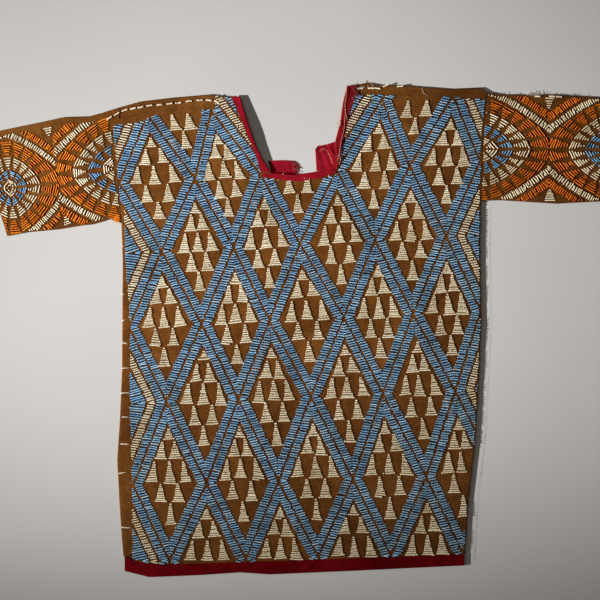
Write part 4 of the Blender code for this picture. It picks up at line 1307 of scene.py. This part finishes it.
@dataclass
class FrontBeadwork:
    """The front's beads: a slanted lattice of blue lanes, cream triangles in its diamonds, and chevrons."""

    ends: Point = (-249, 259)
    rows: tuple[tuple[float, float, tuple[float, ...]], ...] = (
        (408, 436, (-263, -203, -65, 60, 179, 262)),
        (310, 342, (-223, -130, -5, 117, 220)),
        (214, 244, (-263, -154, -59, 51, 157, 259)),
        (112, 139, (-202, -98, -2, 107, 210)),
        (4, 28, (-249, -144, -46, 62, 162, 260)),
        (-106, -87, (-195, -91, 14, 118, 223)),
        (-225, -210, (-243, -137, -33, 75, 181, 285)),
        (-336, -323, (-191, -80, 25, 130, 234)),
        (-446, -436, (-246, -137, -30, 78, 186, 290)),
    )
    neck_sides: tuple[tuple[int, int, int, Point], ...] = ((1, 1, 0, (45.0, 0.0)), (1, 2, 1, (0.0, 30.0)))
    side_longer: float = 22.0
    blue_lane: Point = (1.5, 12.0)
    chevron_lanes: tuple[tuple[Point, BeadColour], ...] = (
        ((1.5, 12.0), BeadColour.BLUE), ((14.8, 24.3), BeadColour.CREAM), ((26.8, 46.0), BeadColour.BLUE),
    )
    triangles: tuple[tuple[float, float, float, float, float], ...] = (
        (0.168, 0.240, 0.0, 0.0, 15.0),
        (0.248, 0.358, -0.080, -0.105, 17.2),
        (0.248, 0.358, 0.080, 0.105, 17.2),
        (0.372, 0.505, -0.195, -0.230, 17.2),
        (0.372, 0.505, 0.0, 0.0, 16.6),
        (0.372, 0.505, 0.195, 0.230, 17.2),
        (0.510, 0.635, -0.125, -0.128, 17.0),
        (0.510, 0.635, 0.125, 0.128, 17.0),
        (0.638, 0.772, 0.0, 0.0, 16.2),
    )
    placings: dict[tuple[int, int], Point] = field(default_factory=lambda: {
        (2, 0): (1.10, 0.0), (2, 1): (1.0, 0.0), (2, 3): (1.05, -0.010), (3, 0): (0.86, 0.0),
    })
    uneven: Unevenness = Unevenness()
    least_share: float = 0.55
    margin: float = 0.8
    right_margin: float = 1.6
    neck_margin: float = 0.6
    shoulder_reach: float = 20.0
    triangle_pitches: Point = (3.0, 3.15)
    flare: float = 0.9

    def crossing(self, row: int, index: int) -> np.ndarray:
        """A crossing of the lattice."""
        left, right, places = self.rows[row]
        share = (places[index] - self.ends[0]) / (self.ends[1] - self.ends[0])
        return np.array((places[index], left + share * (right - left)))

    def diamonds(self) -> list[Diamond]:
        """The lattice's diamonds, whole ones and the halves at the sides."""
        found = []
        for row in range(1, len(self.rows) - 1):
            last_place = len(self.rows[row][2]) - 1
            short = last_place < len(self.rows[row - 1][2]) - 1
            for index in range(last_place):
                other = index + 1 if short else index
                corners = (self.crossing(row, index), self.crossing(row + 1, other),
                           self.crossing(row, index + 1), self.crossing(row - 1, other))
                sides = {side: longer for at, place, side, longer in self.neck_sides
                         if (at, place) == (row, index)}
                found.append(Diamond(corners, sides, placing=self.placings.get((row, index))))
            for end, other in ((0, 0), (last_place, last_place + 1)) if short else ():
                near = self.crossing(row, end)
                low, high = self.crossing(row + 1, other), self.crossing(row - 1, other)
                far = low + high - near
                corners = (far, low, near, high) if end == 0 else (near, low, far, high)
                first, last = (self.side_longer, 0.0), (0.0, self.side_longer)
                sides = {1: first, 2: last} if end == 0 else {0: last, 3: first}
                found.append(Diamond(corners, sides, True))
        return found

    def beside_neck(self, polygon: Polygon) -> Polygon:
        """What is left of a polygon outside the neck's bindings: the largest piece beside or below them."""
        edges = ((CUT.binding_left, -1), (CUT.binding_right, 1), (CUT.binding_front, -1))
        choices = [edge.trim(polygon, side, self.neck_margin) for edge, side in edges]
        return max((choice for choice in choices if choice), key=area_of, default=[])

    def trim(self, polygon: Polygon) -> Polygon:
        """What is left of a polygon inside the front's beaded field."""
        middle = np.mean(polygon, axis=0)
        left = CUT.left_bead_edge if middle[1] < CUT.left_armpit else CUT.left_bead_seam
        right = CUT.right_side if middle[1] < CUT.right_armpit else CUT.right_armhole
        top = CUT.left_bead_top if middle[0] < 0 else CUT.right_strip
        for edge, side, margin in ((left, 1, self.margin), (right, -1, self.right_margin),
                                   (CUT.hem_top, 1, self.margin), (top, -1, self.margin)):
            polygon = edge.trim(polygon, side, margin)
            if not polygon:
                return []
        return self.beside_neck(polygon)

    def shoulder_corner(self, polygon: Polygon) -> Polygon:
        """What is left of a polygon above the left strip's line, between the strip's end and the neck."""
        middle = np.mean(polygon, axis=0)
        if not CUT.strip_end - self.shoulder_reach < middle[0] < 0:
            return []
        polygon = CUT.left_bead_top.trim(polygon, 1, -self.margin)
        for edge in (CUT.left_shoulder, CUT.binding_left):
            polygon = edge.trim(polygon, -1, self.margin) if polygon else []
        return kept_side(polygon, (CUT.strip_end, 0.0), (1.0, 0.0)) if polygon else []

    def build(self) -> list[bpy.types.Object]:
        """Sews the beads and makes them, in pieces of one colour."""
        blue = {side: BeadSewing(f"blue_bead_lanes_{name}", BeadColour.BLUE, 11 + side)
                for side, name in enumerate(("falling_right_low", "falling_left_low",
                                             "falling_right_high", "falling_left_high"))}
        chevrons = BeadSewing("cream_bead_chevrons", BeadColour.CREAM, 21)
        upper = BeadSewing("cream_bead_triangles_upper", BeadColour.CREAM, 31, CLOSE_BEAD)
        lower = BeadSewing("cream_bead_triangles_lower", BeadColour.CREAM, 32, LOOSE_BEAD)
        draw, uneven = np.random.default_rng(41), self.uneven
        for diamond in self.diamonds():
            for side in range(4):
                lanes, longer = ((self.blue_lane, BeadColour.BLUE),), (0.0, 0.0)
                if side in diamond.chevron_sides:
                    lanes, longer = self.chevron_lanes, diamond.chevron_sides[side]
                elif diamond.is_half:
                    continue
                for edges, colour in lanes:
                    lane = diamond.lane(edges, side, longer)
                    sewing = blue[side] if colour is BeadColour.BLUE else chevrons
                    corner = self.shoulder_corner(lane) if longer[0] > self.side_longer else []
                    for shape in (self.trim(lane), corner):
                        if len(shape) > 2 and area_of(shape) > LEAST_AREA:
                            sewing.fill(shape, diamond.row_way(side))
            if diamond.chevron_sides:
                continue
            spread, lean = diamond.placing or (draw.normal(1.0, uneven.spread), draw.normal(0.0, uneven.lean))
            for tip, base, tip_aside, base_aside, width in self.triangles:
                shift = lean + draw.normal(0, uneven.shift)
                whole = diamond.triangle(
                    tip, base + draw.normal(0, uneven.base_place), tip_aside * spread + shift,
                    base_aside * spread + shift + draw.normal(0, uneven.base_shift),
                    width * draw.normal(1, uneven.width))
                shape = self.trim(whole)
                if shape and area_of(shape) > self.least_share * area_of(whole):
                    turn = draw.normal(0, uneven.turn)
                    way = diamond.level + turn * np.array((-diamond.level[1], diamond.level[0]))
                    is_low = shape[0][1] <= 0
                    (lower if is_low else upper).fill(shape, way, self.triangle_pitches[is_low], self.flare)
        return [sewing.build() for sewing in (*blue.values(), chevrons, upper, lower)]


@dataclass(frozen=True)
class Curve:
    """A closed curve, lower than it is long, with a soft point at both ends. Power 2 is an ellipse."""

    height: float
    power: float

    def point(self, half_length: float, angle: float) -> Point:
        """The point at an angle on the curve of some half length."""
        way = (math.cos(angle), self.height * math.sin(angle))
        share = half_length / self.half_length(way)
        return way[0] * share, way[1] * share

    def half_length(self, point: Point) -> float:
        """Half the length of the curve that runs through a point."""
        return (abs(point[0]) ** self.power + abs(point[1] / self.height) ** self.power) ** (1 / self.power)


WEDGE_CURVE = Curve(0.79, 1.50)
ARCH_CURVE = Curve(0.695, 1.27)


@dataclass(frozen=True)
class Medallion:
    """A medallion of wedges in rings round a middle, drawn out along a sleeve, its inner rings tighter."""

    x: float
    y: float
    degrees: float = 0.0
    drawn_out: float = 1.0
    tightness: float = 0.0
    height: float = 1.0
    wedges: tuple[int, int, int, int] = (7, 16, 22, 28)
    reach: float = 93.5
    inside: float = 110.5

    def point(self, curve: Curve, half_length: float, angle: float) -> Point:
        """The point at an angle on one of the curves round the middle."""
        turn = math.radians(self.degrees)
        along, aside = curve.point(half_length, angle)
        if curve is WEDGE_CURVE:
            share = min(1.0, self.inside / ARCH_CURVE.half_length((along, aside)))
            along, aside = along * share, aside * share
        tight = self.tightness * max(0.0, 1 - half_length / self.reach)
        along, aside = along * (self.drawn_out - tight), aside * (self.height - tight)
        return (self.x + along * math.cos(turn) - aside * math.sin(turn),
                self.y + along * math.sin(turn) + aside * math.cos(turn))

    def piece(self, curve: Curve, reach: Point, angle: float, halves: Point) -> Polygon:
        """A four-cornered piece of a ring.

        Args:
            curve: the ring's curve.
            reach: the inner and the outer half length.
            angle: where its middle lies.
            halves: half its angle at the inner and at the outer side.

        Returns:
            Its corners, anticlockwise.
        """
        corners = ((0, -1), (1, -1), (1, 1), (0, 1))
        return [self.point(curve, reach[end], angle + side * halves[end]) for end, side in corners]

    def along(self, curve: Curve, half_length: float, angle: float) -> np.ndarray:
        """The way along one of the curves at an angle."""
        step = 0.01
        after, before = (self.point(curve, half_length, angle + turn) for turn in (step, -step))
        return np.array(after) - np.array(before)


@dataclass
class SleeveBeadwork:
    """A sleeve's beads: two half medallions, the lanes round them and the small triangles between."""

    side: str
    sleeve: Sleeve
    medallions: tuple[Medallion, Medallion]
    middle: Point
    small: tuple[tuple[Point, Point, float], ...]
    seed: int
    rings: tuple[tuple[float, float, float, float, BeadColour], ...] = (
        (6, 24, 0.12, 0.86, BeadColour.CREAM),
        (25.5, 45.5, 0.12, 0.74, BeadColour.BLUE),
        (46.5, 70, 0.14, 0.80, BeadColour.CREAM),
        (71.5, 101.0, 0.30, 0.86, BeadColour.ORANGE),
    )
    arches: tuple[tuple[float, float, BeadColour], ...] = (
        (116.0, 128.5, BeadColour.CREAM), (136.0, 150.5, BeadColour.ORANGE),
    )
    arch_steps: int = 48
    wedge_pitch: float = 3.3
    arch_pitch: float = 3.5
    middle_gap: float = 0.3
    loop: tuple[Point, float, float] | None = None
    loop_step: float = math.pi / 5
    loop_twist: float = 0.5
    tones: Triple = (0.55, 0.62, 0.55)

    def build(self) -> list[bpy.types.Object]:
        """Sews the beads and makes them, in pieces of one colour."""
        work = {colour: BeadSewing(f"sleeve_{self.side}_{colour.name.lower()}_beads", colour,
                                   self.seed + index, tone=self.tones[index])
                for index, colour in enumerate(BeadColour)}
        for medallion, away in zip(self.medallions, (-self.sleeve.outward, self.sleeve.outward)):
            for (inner, outer, point, base, colour), count in zip(self.rings, medallion.wedges):
                reach = math.pi / count
                for step in range(count):
                    angle = reach * (2 * step + 1)
                    halves = (reach * point, reach * base)
                    shape = medallion.piece(WEDGE_CURVE, (inner, outer), angle, halves)
                    rows = medallion.along(WEDGE_CURVE, inner, angle)
                    self.sew(work[colour], shape, away, rows, self.wedge_pitch)
            reach = math.pi / self.arch_steps
            for inner, outer, colour in self.arches:
                for step in range(self.arch_steps):
                    angle = reach * (2 * step + 1)
                    shape = medallion.piece(ARCH_CURVE, (inner, outer), angle, (reach, reach))
                    along = medallion.along(ARCH_CURVE, inner, angle)
                    rows = np.array((along[1], -along[0])) / np.linalg.norm(along)
                    self.sew(work[colour], shape, away, rows, self.arch_pitch)
        for base, tip, width in self.small:
            way = np.array(tip) - np.array(base)
            level = np.array((way[1], -way[0])) / np.linalg.norm(way)
            point, spread = level * HALF_TIP, level * width / 2
            corners = (base + spread, tip + point, tip - point, base - spread)
            shape = self.sleeve.trim([tuple(map(float, corner)) for corner in corners])
            if shape:
                work[BeadColour.CREAM].fill(shape, level, self.wedge_pitch)
        if self.loop:
            (x, y), inner, outer = self.loop
            for angle in np.arange(0, 2 * math.pi, self.loop_step):
                way = (math.cos(angle + self.loop_twist), math.sin(angle + self.loop_twist))
                work[BeadColour.ORANGE].row((x + inner * math.cos(angle), y + inner * math.sin(angle)),
                                            (x + outer * way[0], y + outer * way[1]))
        return [sewing.build() for sewing in work.values()]

    def sew(self, sewing: BeadSewing, shape: Polygon, away: int, rows: np.ndarray, pitch: float) -> None:
        """Fills a shape on its own side of the sleeve's middle."""
        turn = math.radians(self.medallions[0].degrees)
        way = (away * math.cos(turn), away * math.sin(turn))
        start = (self.middle[0] + way[0] * self.middle_gap, self.middle[1] + way[1] * self.middle_gap)
        half = kept_side(shape, start, way)
        trimmed = self.sleeve.trim(half) if len(half) > 2 else []
        if trimmed and area_of(trimmed) > LEAST_AREA:
            sewing.fill(trimmed, rows, pitch)


@dataclass
class ThreadSewing:
    """Threads of one finish, gathered and then made as one mesh of thin tubes."""

    name: str
    finish: ThreadFinish
    slot: Slot
    radius: float
    sides: int = 5
    end_share: float = 0.45
    leaning_up: Triple = (0.03, 0.05, 1.0)
    paths: list[np.ndarray] = field(default_factory=list)

    def add(self, path: Sequence[Sequence[float]]) -> None:
        """Adds a thread that follows a path."""
        self.paths.append(np.array(path, float))

    def build(self) -> bpy.types.Object:
        """Makes the threads as one mesh that rides on the garment."""
        points, faces, first = [], [], 0
        angles = np.arange(self.sides) * 2 * math.pi / self.sides
        for path in self.paths:
            way = np.gradient(path, axis=0)
            way /= np.linalg.norm(way, axis=1)[:, None]
            aside = np.cross(way, self.leaning_up)
            aside /= np.linalg.norm(aside, axis=1)[:, None]
            over = np.cross(aside, way)
            ring = (np.cos(angles)[None, :, None] * aside[:, None]
                    + np.sin(angles)[None, :, None] * over[:, None])
            taper = np.full(len(path), self.radius)
            taper[[0, -1]] *= self.end_share
            points.append((path[:, None] + ring * taper[:, None, None]).reshape(-1, 3))
            for step in range(len(path) - 1):
                for index in range(self.sides):
                    after = (index + 1) % self.sides
                    low, high = first + step * self.sides, first + (step + 1) * self.sides
                    faces.append((low + index, low + after, high + after, high + index))
            first += len(path) * self.sides
        piece = mesh_object(self.name, np.concatenate(points), np.array(faces), self.finish.material())
        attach(piece, "root")
        LOG.info("%s: %d threads, %d triangles", self.name, len(self.paths), 2 * len(faces))
        return piece


@dataclass
class HandSewing:
    """The sewing that shows: whip stitches, the running stitch of cream beads, and loose yarns."""

    whip_stitches: tuple[Triple, ...] = (
        (122, -261, -257), (52, -262, -256), (14, -260, -254.5), (-19, -260, -251.5), (-55, -261, -249.5),
        (-91, -263, -248.7), (-126, -260, -251), (-165, -263, -249.5), (-207, -265, -254.5),
        (-286, -262, -247),
    )
    running_stitches: tuple[Triple, ...] = (
        (-278, 307, 34), (-267.5, 313, 30), (-256, 318, 20), (-244, 321, 14), (-233, 323, 10),
        (-220, 325, 8), (-205, 326, 8), (-191, 328, 8), (-178, 329, 8), (-163, 331, 8), (-147, 333, 4),
        (-134, 333, -6),
        (-122.5, 330, -36), (85, 350, 2), (101, 350, 0), (110, 350, -8), (122.5, 354, 24), (143, 353, 4),
        (342, 338.6, 0), (363, 338.4, -3), (373, 337.9, -3),
    )
    binding_stitches: tuple[Point, ...] = (
        (-60.6, 231.2), (-39.9, 218.8), (-33.5, 217.2), (-26.5, 226.0), (4.5, 219.6), (11.9, 218.8),
        (39.3, 224.0),
    )
    fallen_yarns: tuple[tuple[Point, ...], ...] = (
        ((65.4, 352.0), (65.1, 340.3), (62.9, 324.1), (64.8, 312.2), (66.5, 303.3)),
        ((56.3, 304.5), (51.8, 299.5), (52.4, 292.0), (56.8, 295.5), (56.3, 303.3)),
        ((26.2, 258.4), (30.6, 262.9), (37.0, 260.4), (41.5, 251.0), (45.0, 241.0)),
        ((64.1, 320.6), (62.2, 291.5), (57.6, 273.8), (55.4, 259.0), (52.3, 244.2)),
        ((56.5, 262.0), (54.4, 254.0), (56.9, 246.5), (54.5, 238.5)),
    )
    yarn_height: float = 6.4
    stitch_length: float = 8.6
    overcast_places: Triple = (-336.0, 182.0, 3.7)

    def whips(self) -> bpy.types.Object:
        """The white whip stitches over the left side's seam."""
        sewing = ThreadSewing("whip_stitches", WHITE_THREAD, Slot.THREAD, 0.42)
        draw = np.random.default_rng(51)
        steps, slant_spread, line_spread = 7, 1.0, 0.15
        clear, arch, half_apart = 0.1, 0.35, 0.4
        for y, left, right in self.whip_stitches:
            share = np.linspace(0, 1, steps)
            x = left + (right - left) * share
            slant = draw.normal(0, slant_spread)
            line = y + slant * (share - 0.5) + draw.normal(0, line_spread, steps)
            height = GROUND.top(x, line) + clear + arch * np.sin(math.pi * share)
            for offset in (-half_apart, half_apart):
                sewing.add(as_points(x, line + offset, height))
        return sewing.build()

    def binding_whips(self) -> bpy.types.Object:
        """The small pale stitches along the front binding's lower edge."""
        sewing = ThreadSewing("binding_stitches", WHITE_THREAD, Slot.THREAD, 0.45)
        share = np.linspace(-1.0, 1.0, 5)
        aside, along, top, arch = 0.3, 0.9, 5.7, 0.3
        for x, y in self.binding_stitches:
            sewing.add(as_points(x + aside * share, y + along * share, top - arch * share * share))
        return sewing.build()

    def fallen(self) -> bpy.types.Object:
        """The long yarns that came out of the worn right binding and lie on it."""
        sewing = ThreadSewing("fallen_yarns", TAN_YARN, Slot.THREAD, 0.34, 4)
        steps_a_place, ripple, turn = 6, 0.2, 2.1
        for path in self.fallen_yarns:
            places = np.array(path)
            knots_at = np.arange(len(places))
            steps = np.linspace(0, len(places) - 1, steps_a_place * len(places))
            x, y = (np.interp(steps, knots_at, places[:, side]) for side in (0, 1))
            for _ in range(3):
                x[1:-1], y[1:-1] = (x[:-2] + x[1:-1] + x[2:]) / 3, (y[:-2] + y[1:-1] + y[2:]) / 3
            sewing.add(as_points(x, y, self.yarn_height + ripple * np.sin(steps * turn)))
        return sewing.build()

    def overcasts(self) -> bpy.types.Object:
        """The close overcast stitches that stand out along the front's right edge."""
        sewing = ThreadSewing("overcast_stitches", BROWN_YARN, Slot.BROWN, 0.42, 4)
        draw = np.random.default_rng(55)
        steps, inside, least_reach, top, drop = 4, -1.2, 0.6, 5.6, 1.1
        reaches, slants = (1.9, 0.45), (0.8, 0.5)
        for y in np.arange(*self.overcast_places):
            reach = draw.normal(*reaches)
            line = y + np.linspace(0.0, draw.normal(*slants), steps)
            x = float(CUT.right_side.at(y)) + np.linspace(inside, max(least_reach, reach), steps)
            sewing.add(as_points(x, line, top - np.linspace(0.0, drop, steps)))
        return sewing.build()

    def running(self) -> bpy.types.Object:
        """The running stitch of cream beads along the shoulders."""
        sewing = BeadSewing("shoulder_running_stitch", BeadColour.CREAM, 61, STITCH_BEAD, tone=0.9)
        for x, y, degrees in self.running_stitches:
            turn = math.radians(degrees)
            aside, up = (way(turn) * self.stitch_length / 2 for way in (math.cos, math.sin))
            sewing.row((x - aside, y - up), (x + aside, y + up))
        return sewing.build()

    def frays(self) -> list[bpy.types.Object]:
        """The loose yarns along the worn edges, by count, place, way, length and height."""
        draw = np.random.default_rng(71)
        red = ThreadSewing("loose_red_yarns", RED_YARN, Slot.RED, 0.34, 4)
        brown = ThreadSewing("loose_brown_yarns", BROWN_YARN, Slot.BROWN, 0.18, 4)
        pale = ThreadSewing("loose_pale_yarns", WHITE_THREAD, Slot.THREAD, 0.18, 4)
        right_binding, left_binding = CUT.binding_right.point, CUT.binding_left.point
        side, shoulder, sleeve_top = CUT.right_side.point, CUT.right_shoulder.point, RIGHT_SLEEVE.top.point
        table = (
            (red, 46, (240, 352), lambda y: right_binding(y, -draw.uniform(-1, 5)), (-40, 70), (4, 11), 5.6),
            (red, 16, (232, 336), lambda y: left_binding(y, 0.5), (120, 230), (2, 5), 5.0),
            (red, 22, (-16, -6), lambda x: (x, draw.uniform(230, 244)), (-40, 40), (3, 9), 1.6),
            (brown, 110, (-335, 182), lambda y: side(y, -1.0), (-35, 35), (2.5, 5.5), 2.2),
            (brown, 26, (275, 445), lambda x: sleeve_top(x, -0.6), (50, 130), (2, 5), 2.4),
            (pale, 16, (325, 352), lambda x: sleeve_top(x, -1.0), (20, 160), (3, 7), 3.4),
            (pale, 14, (80, 120), lambda x: shoulder(x, -draw.uniform(0, 12)), (0, 180), (3, 8), 3.8),
        )
        for sewing, count, ends, place, degrees, lengths, height in table:
            for _ in range(count):
                x, y = place(draw.uniform(*ends))
                self.curl(sewing, draw, x, y, draw.uniform(*degrees), draw.uniform(*lengths), height)
        self.curl(pale, draw, 176, 352, -112, 17, 4.2)
        return [sewing.build() for sewing in (red, brown, pale)]

    def curl(self, sewing: ThreadSewing, draw: np.random.Generator, x: float, y: float, degrees: float,
             length: float, height: float) -> None:
        """Adds one loose yarn that wanders off in a direction."""
        turn = math.radians(degrees)
        steps, turn_spread, least_height, falls = 6, 0.35, 0.4, (-0.1, 0.3)
        path = [(x, y, height)]
        for _ in range(steps):
            turn += draw.normal(0, turn_spread)
            height = max(least_height, height + draw.normal(*falls))
            x, y = x + math.cos(turn) * length / steps, y + math.sin(turn) * length / steps
            path.append((x, y, height))
        sewing.add(path)


@dataclass(frozen=True)
class Studio:
    """The pale floor with its painted pool of light, the lights and the camera straight above."""

    aim: Point = (-2.0, 43.5)
    view_width: float = 870.0
    camera_height: float = 3000.0
    sensor: float = 36.0
    far_end: float = 50.0
    floor_reach: float = 4000.0
    # A painted pool of light on the floor: its middle and reach in metres, and its tones from the rim in.
    painted_pool_middle: Triple = (0.08, 0.04, 0.0)
    painted_pool_reach: float = 1.2
    painted_light_pool: tuple[tuple[float, Triple], ...] = (
        (0.30, (0.320, 0.318, 0.312)), (0.50, (0.435, 0.433, 0.428)),
        (0.64, (0.515, 0.514, 0.509)), (0.85, (0.590, 0.590, 0.585)),
    )
    key_target: Triple = (-100.0, 330.0, 0.0)
    key_degrees: Point = (21, 12)
    key_distance: float = 4200.0
    key_power: float = 1960.0
    key_cone: float = 26.6
    key_size: float = 0.070
    fill_place: Triple = (-900.0, 700.0, 2600.0)
    fill_power: float = 9.0
    fill_size: float = 2.4
    sky: float = 0.06

    def floor(self) -> None:
        """The pale grey surface that the tunic lies on, with a painted pool of light that darkens away from
        its middle.
        """
        desk = NodeDesk("pale_paper")
        place = desk.place()
        # The floor's colour darkens away from the painted pool's middle.
        falling = desk.ramp(desk.distance(place, self.painted_pool_middle, self.painted_pool_reach), self.painted_light_pool)
        tone = desk.times(falling, desk.mottled(place, PAPER_CLOUDS))
        desk.join(tone, desk.shader.inputs["Base Color"])
        desk.set({"Roughness": 0.95, "Specular IOR Level": 0.1})
        reach = self.floor_reach
        corners = np.array([(x * reach, y * reach, 0.0) for x, y in ((-1, -1), (1, -1), (1, 1), (-1, 1))])
        mesh_object("floor", corners - (0, 0, 0.05), np.array([[0, 1, 2, 3]]), desk.material)

    def light(self, kind: str, name: str, place: Sequence[float], target: Sequence[float], power: float,
              colour: Sequence[float]) -> bpy.types.Light:
        """Adds a light that points at a target."""
        lamp = bpy.data.lights.new(name, kind)
        lamp.energy = power
        lamp.color = colour
        holder = bpy.data.objects.new(name, lamp)
        holder.location = Vector(place) * MM
        holder.rotation_euler = (Vector(target) - Vector(place)).to_track_quat("-Z", "Y").to_euler()
        bpy.context.scene.collection.objects.link(holder)
        return lamp

    def lights(self) -> None:
        """The low key light from the left and the weak, wide light from above."""
        (elevation, swing), distance = map(math.radians, self.key_degrees), self.key_distance
        target, aside = self.key_target, distance * math.cos(elevation)
        place = (target[0] - aside * math.cos(swing), target[1] - aside * math.sin(swing),
                 distance * math.sin(elevation))
        key = self.light("SPOT", "key", place, target, self.key_power, (1.0, 0.985, 0.955))
        key.shadow_soft_size = self.key_size
        key.spot_size = math.radians(self.key_cone)
        key.spot_blend = 1.0
        middle, warm_white = (0.0, 0.0, 0.0), (1.0, 0.90, 0.80)
        fill = self.light("AREA", "fill", self.fill_place, middle, self.fill_power, warm_white)
        fill.size = self.fill_size
        world = bpy.context.scene.world or bpy.data.worlds.new("studio")
        bpy.context.scene.world = world
        world.use_nodes = True
        background = world.node_tree.nodes["Background"]
        background.inputs["Color"].default_value = (1.0, 0.86, 0.74, 1.0)
        background.inputs["Strength"].default_value = self.sky
        bpy.context.scene.view_settings.view_transform = "Standard"

    def camera(self) -> None:
        """The camera straight above the tunic."""
        lens = bpy.data.cameras.new("camera")
        lens.sensor_width = self.sensor
        lens.lens = self.sensor * self.camera_height / self.view_width
        lens.clip_end = self.far_end
        holder = bpy.data.objects.new("camera", lens)
        holder.location = Vector((self.aim[0], self.aim[1], self.camera_height)) * MM
        bpy.context.scene.collection.objects.link(holder)
        bpy.context.scene.camera = holder


LEFT_SLEEVE = Sleeve(
    "sleeve_left_cloth", ("sleeve_left",), BROWN_COTTON, Slot.BROWN, CUT.wall,
    top=Edge(((-453, 284), (-437, 289), (-408, 295), (-379, 301), (-347, 308), (-310, 309), (-288, 315),
              (-263, 323))),
    bottom=Edge(((-426, 136), (-394, 142), (-350, 146), (-314, 152), (-278, 161), (-261, 154))),
    cuff=Edge(((136, -426), (149, -430), (171, -437), (203, -440), (284, -453)), True),
    armhole=CUT.left_armhole, bead_edge=CUT.left_bead_seam, outward=-1, top_margin=9.0,
)
RIGHT_SLEEVE = Sleeve(
    "sleeve_right_cloth", ("sleeve_right",), BROWN_COTTON, Slot.BROWN, CUT.wall,
    top=Edge(((269, 345), (288, 341), (360, 341), (397, 339), (433, 337), (453, 336))),
    bottom=Edge(((260, 186), (288, 188), (370, 183), (426, 186), (453, 187))),
    cuff=Edge(((187, 453), (336, 453)), True),
    armhole=CUT.right_armhole, bead_edge=CUT.right_armhole, outward=1, top_margin=3.0,
)


LEFT_BEADS = SleeveBeadwork(
    "left", LEFT_SLEEVE,
    medallions=(Medallion(-268, 234, 6.0, 0.92, wedges=(7, 12, 21, 24)),
                Medallion(-421, 206, 6.0, 0.72, 0.35, 0.92, (7, 12, 18, 22))),
    middle=(-354, 222), small=(((-368, 294), (-365, 281), 13.0), ((-338, 152), (-342, 165), 11.0)), seed=81,
    loop=((-267.0, 160.5), 1.6, 5.4), tones=(0.47, 0.54, 0.54),
)
RIGHT_BEADS = SleeveBeadwork(
    "right", RIGHT_SLEEVE,
    medallions=(Medallion(262, 262, wedges=(7, 16, 22, 26)), Medallion(456, 261, wedges=(7, 16, 22, 26))),
    middle=(359, 262), small=(((359, 337), (359, 320), 14.0), ((360, 186), (360, 205), 18.0)), seed=91,
    tones=(0.40, 0.47, 0.35),
)


def red_pieces() -> list[ClothPiece]:
    """The bindings and the hem bands."""
    left, right = CUT.hem_ends
    band = tuple(CUT.hem_bottom.run(left, right) + CUT.hem_top.run(right, left))
    hem = (HEM_COTTON, Slot.RED, CUT.wall)
    torn_ends = (-42, -8)
    back_neck = CUT.neck_front.run(*torn_ends, CUT.seam - CUT.neck_tuck) + list(CUT.back_binding_top)
    red = (RED_COTTON, Slot.RED, CUT.binding_wall)
    worn = (WORN_COTTON, Slot.RED, CUT.binding_wall)
    fine = {"spacing": 5.0, "splits": 1}
    return [
        SideBinding("binding_left_cloth", ("neck_binding_left",), *red, **fine),
        FrontBinding("binding_front_cloth", ("neck_binding_front",), *red, **fine),
        SideBinding("binding_right_cloth", ("neck_binding_right",), *worn, **fine, neck=CUT.neck_right,
                    outer=CUT.binding_right, ends=(232.5, 354.0), way=-1),
        FlatPiece("binding_back_cloth", ("neck_binding_back",), *red, **fine, edge=tuple(back_neck)),
        FoldedEnd("binding_folded_end_cloth", ("neck_binding_flap",), *red, spacing=5.0),
        FlatPiece("hem_band_front_cloth", ("hem_band_front",), *hem, spacing=8.0, edge=band,
                  rest=CUT.front_rest, follows=True),
        FlatPiece("hem_band_back_cloth", ("hem_band_back",), *hem, spacing=12.0, splits=1, edge=band),
    ]


def main() -> None:
    """Builds the tunic's pieces in order, then the studio."""
    logging.basicConfig(level=logging.INFO, format="%(message)s")
    back = BackPanel("back_cloth", ("back_panel",), BROWN_COTTON, Slot.BROWN, CUT.wall, spacing=18.0,
                     splits=1)
    front = FrontPanel("front_cloth", ("front_panel",), FRONT_COTTON, Slot.BROWN, CUT.wall)
    back_cloth = back.build()
    front_cloth = front.build()
    back.declare(back_cloth, rests_on=["floor"])
    sewing = HandSewing()
    front.declare(front_cloth, FrontBeadwork().build(), ["back_cloth"])
    sewing.running()
    sewing.whips()
    sewing.overcasts()
    sewing.binding_whips()
    sewing.fallen()
    sewing.frays()
    for beads in (LEFT_BEADS, RIGHT_BEADS):
        beads.sleeve.declare(beads.sleeve.build(), beads.build(), ["floor"])
    for piece in red_pieces():
        piece.declare(piece.build(), rests_on=["back_cloth" if "back" in piece.name else "front_cloth"])
    studio = Studio()
    studio.floor()
    studio.lights()
    studio.camera()


if __name__ == "__main__":
    main()
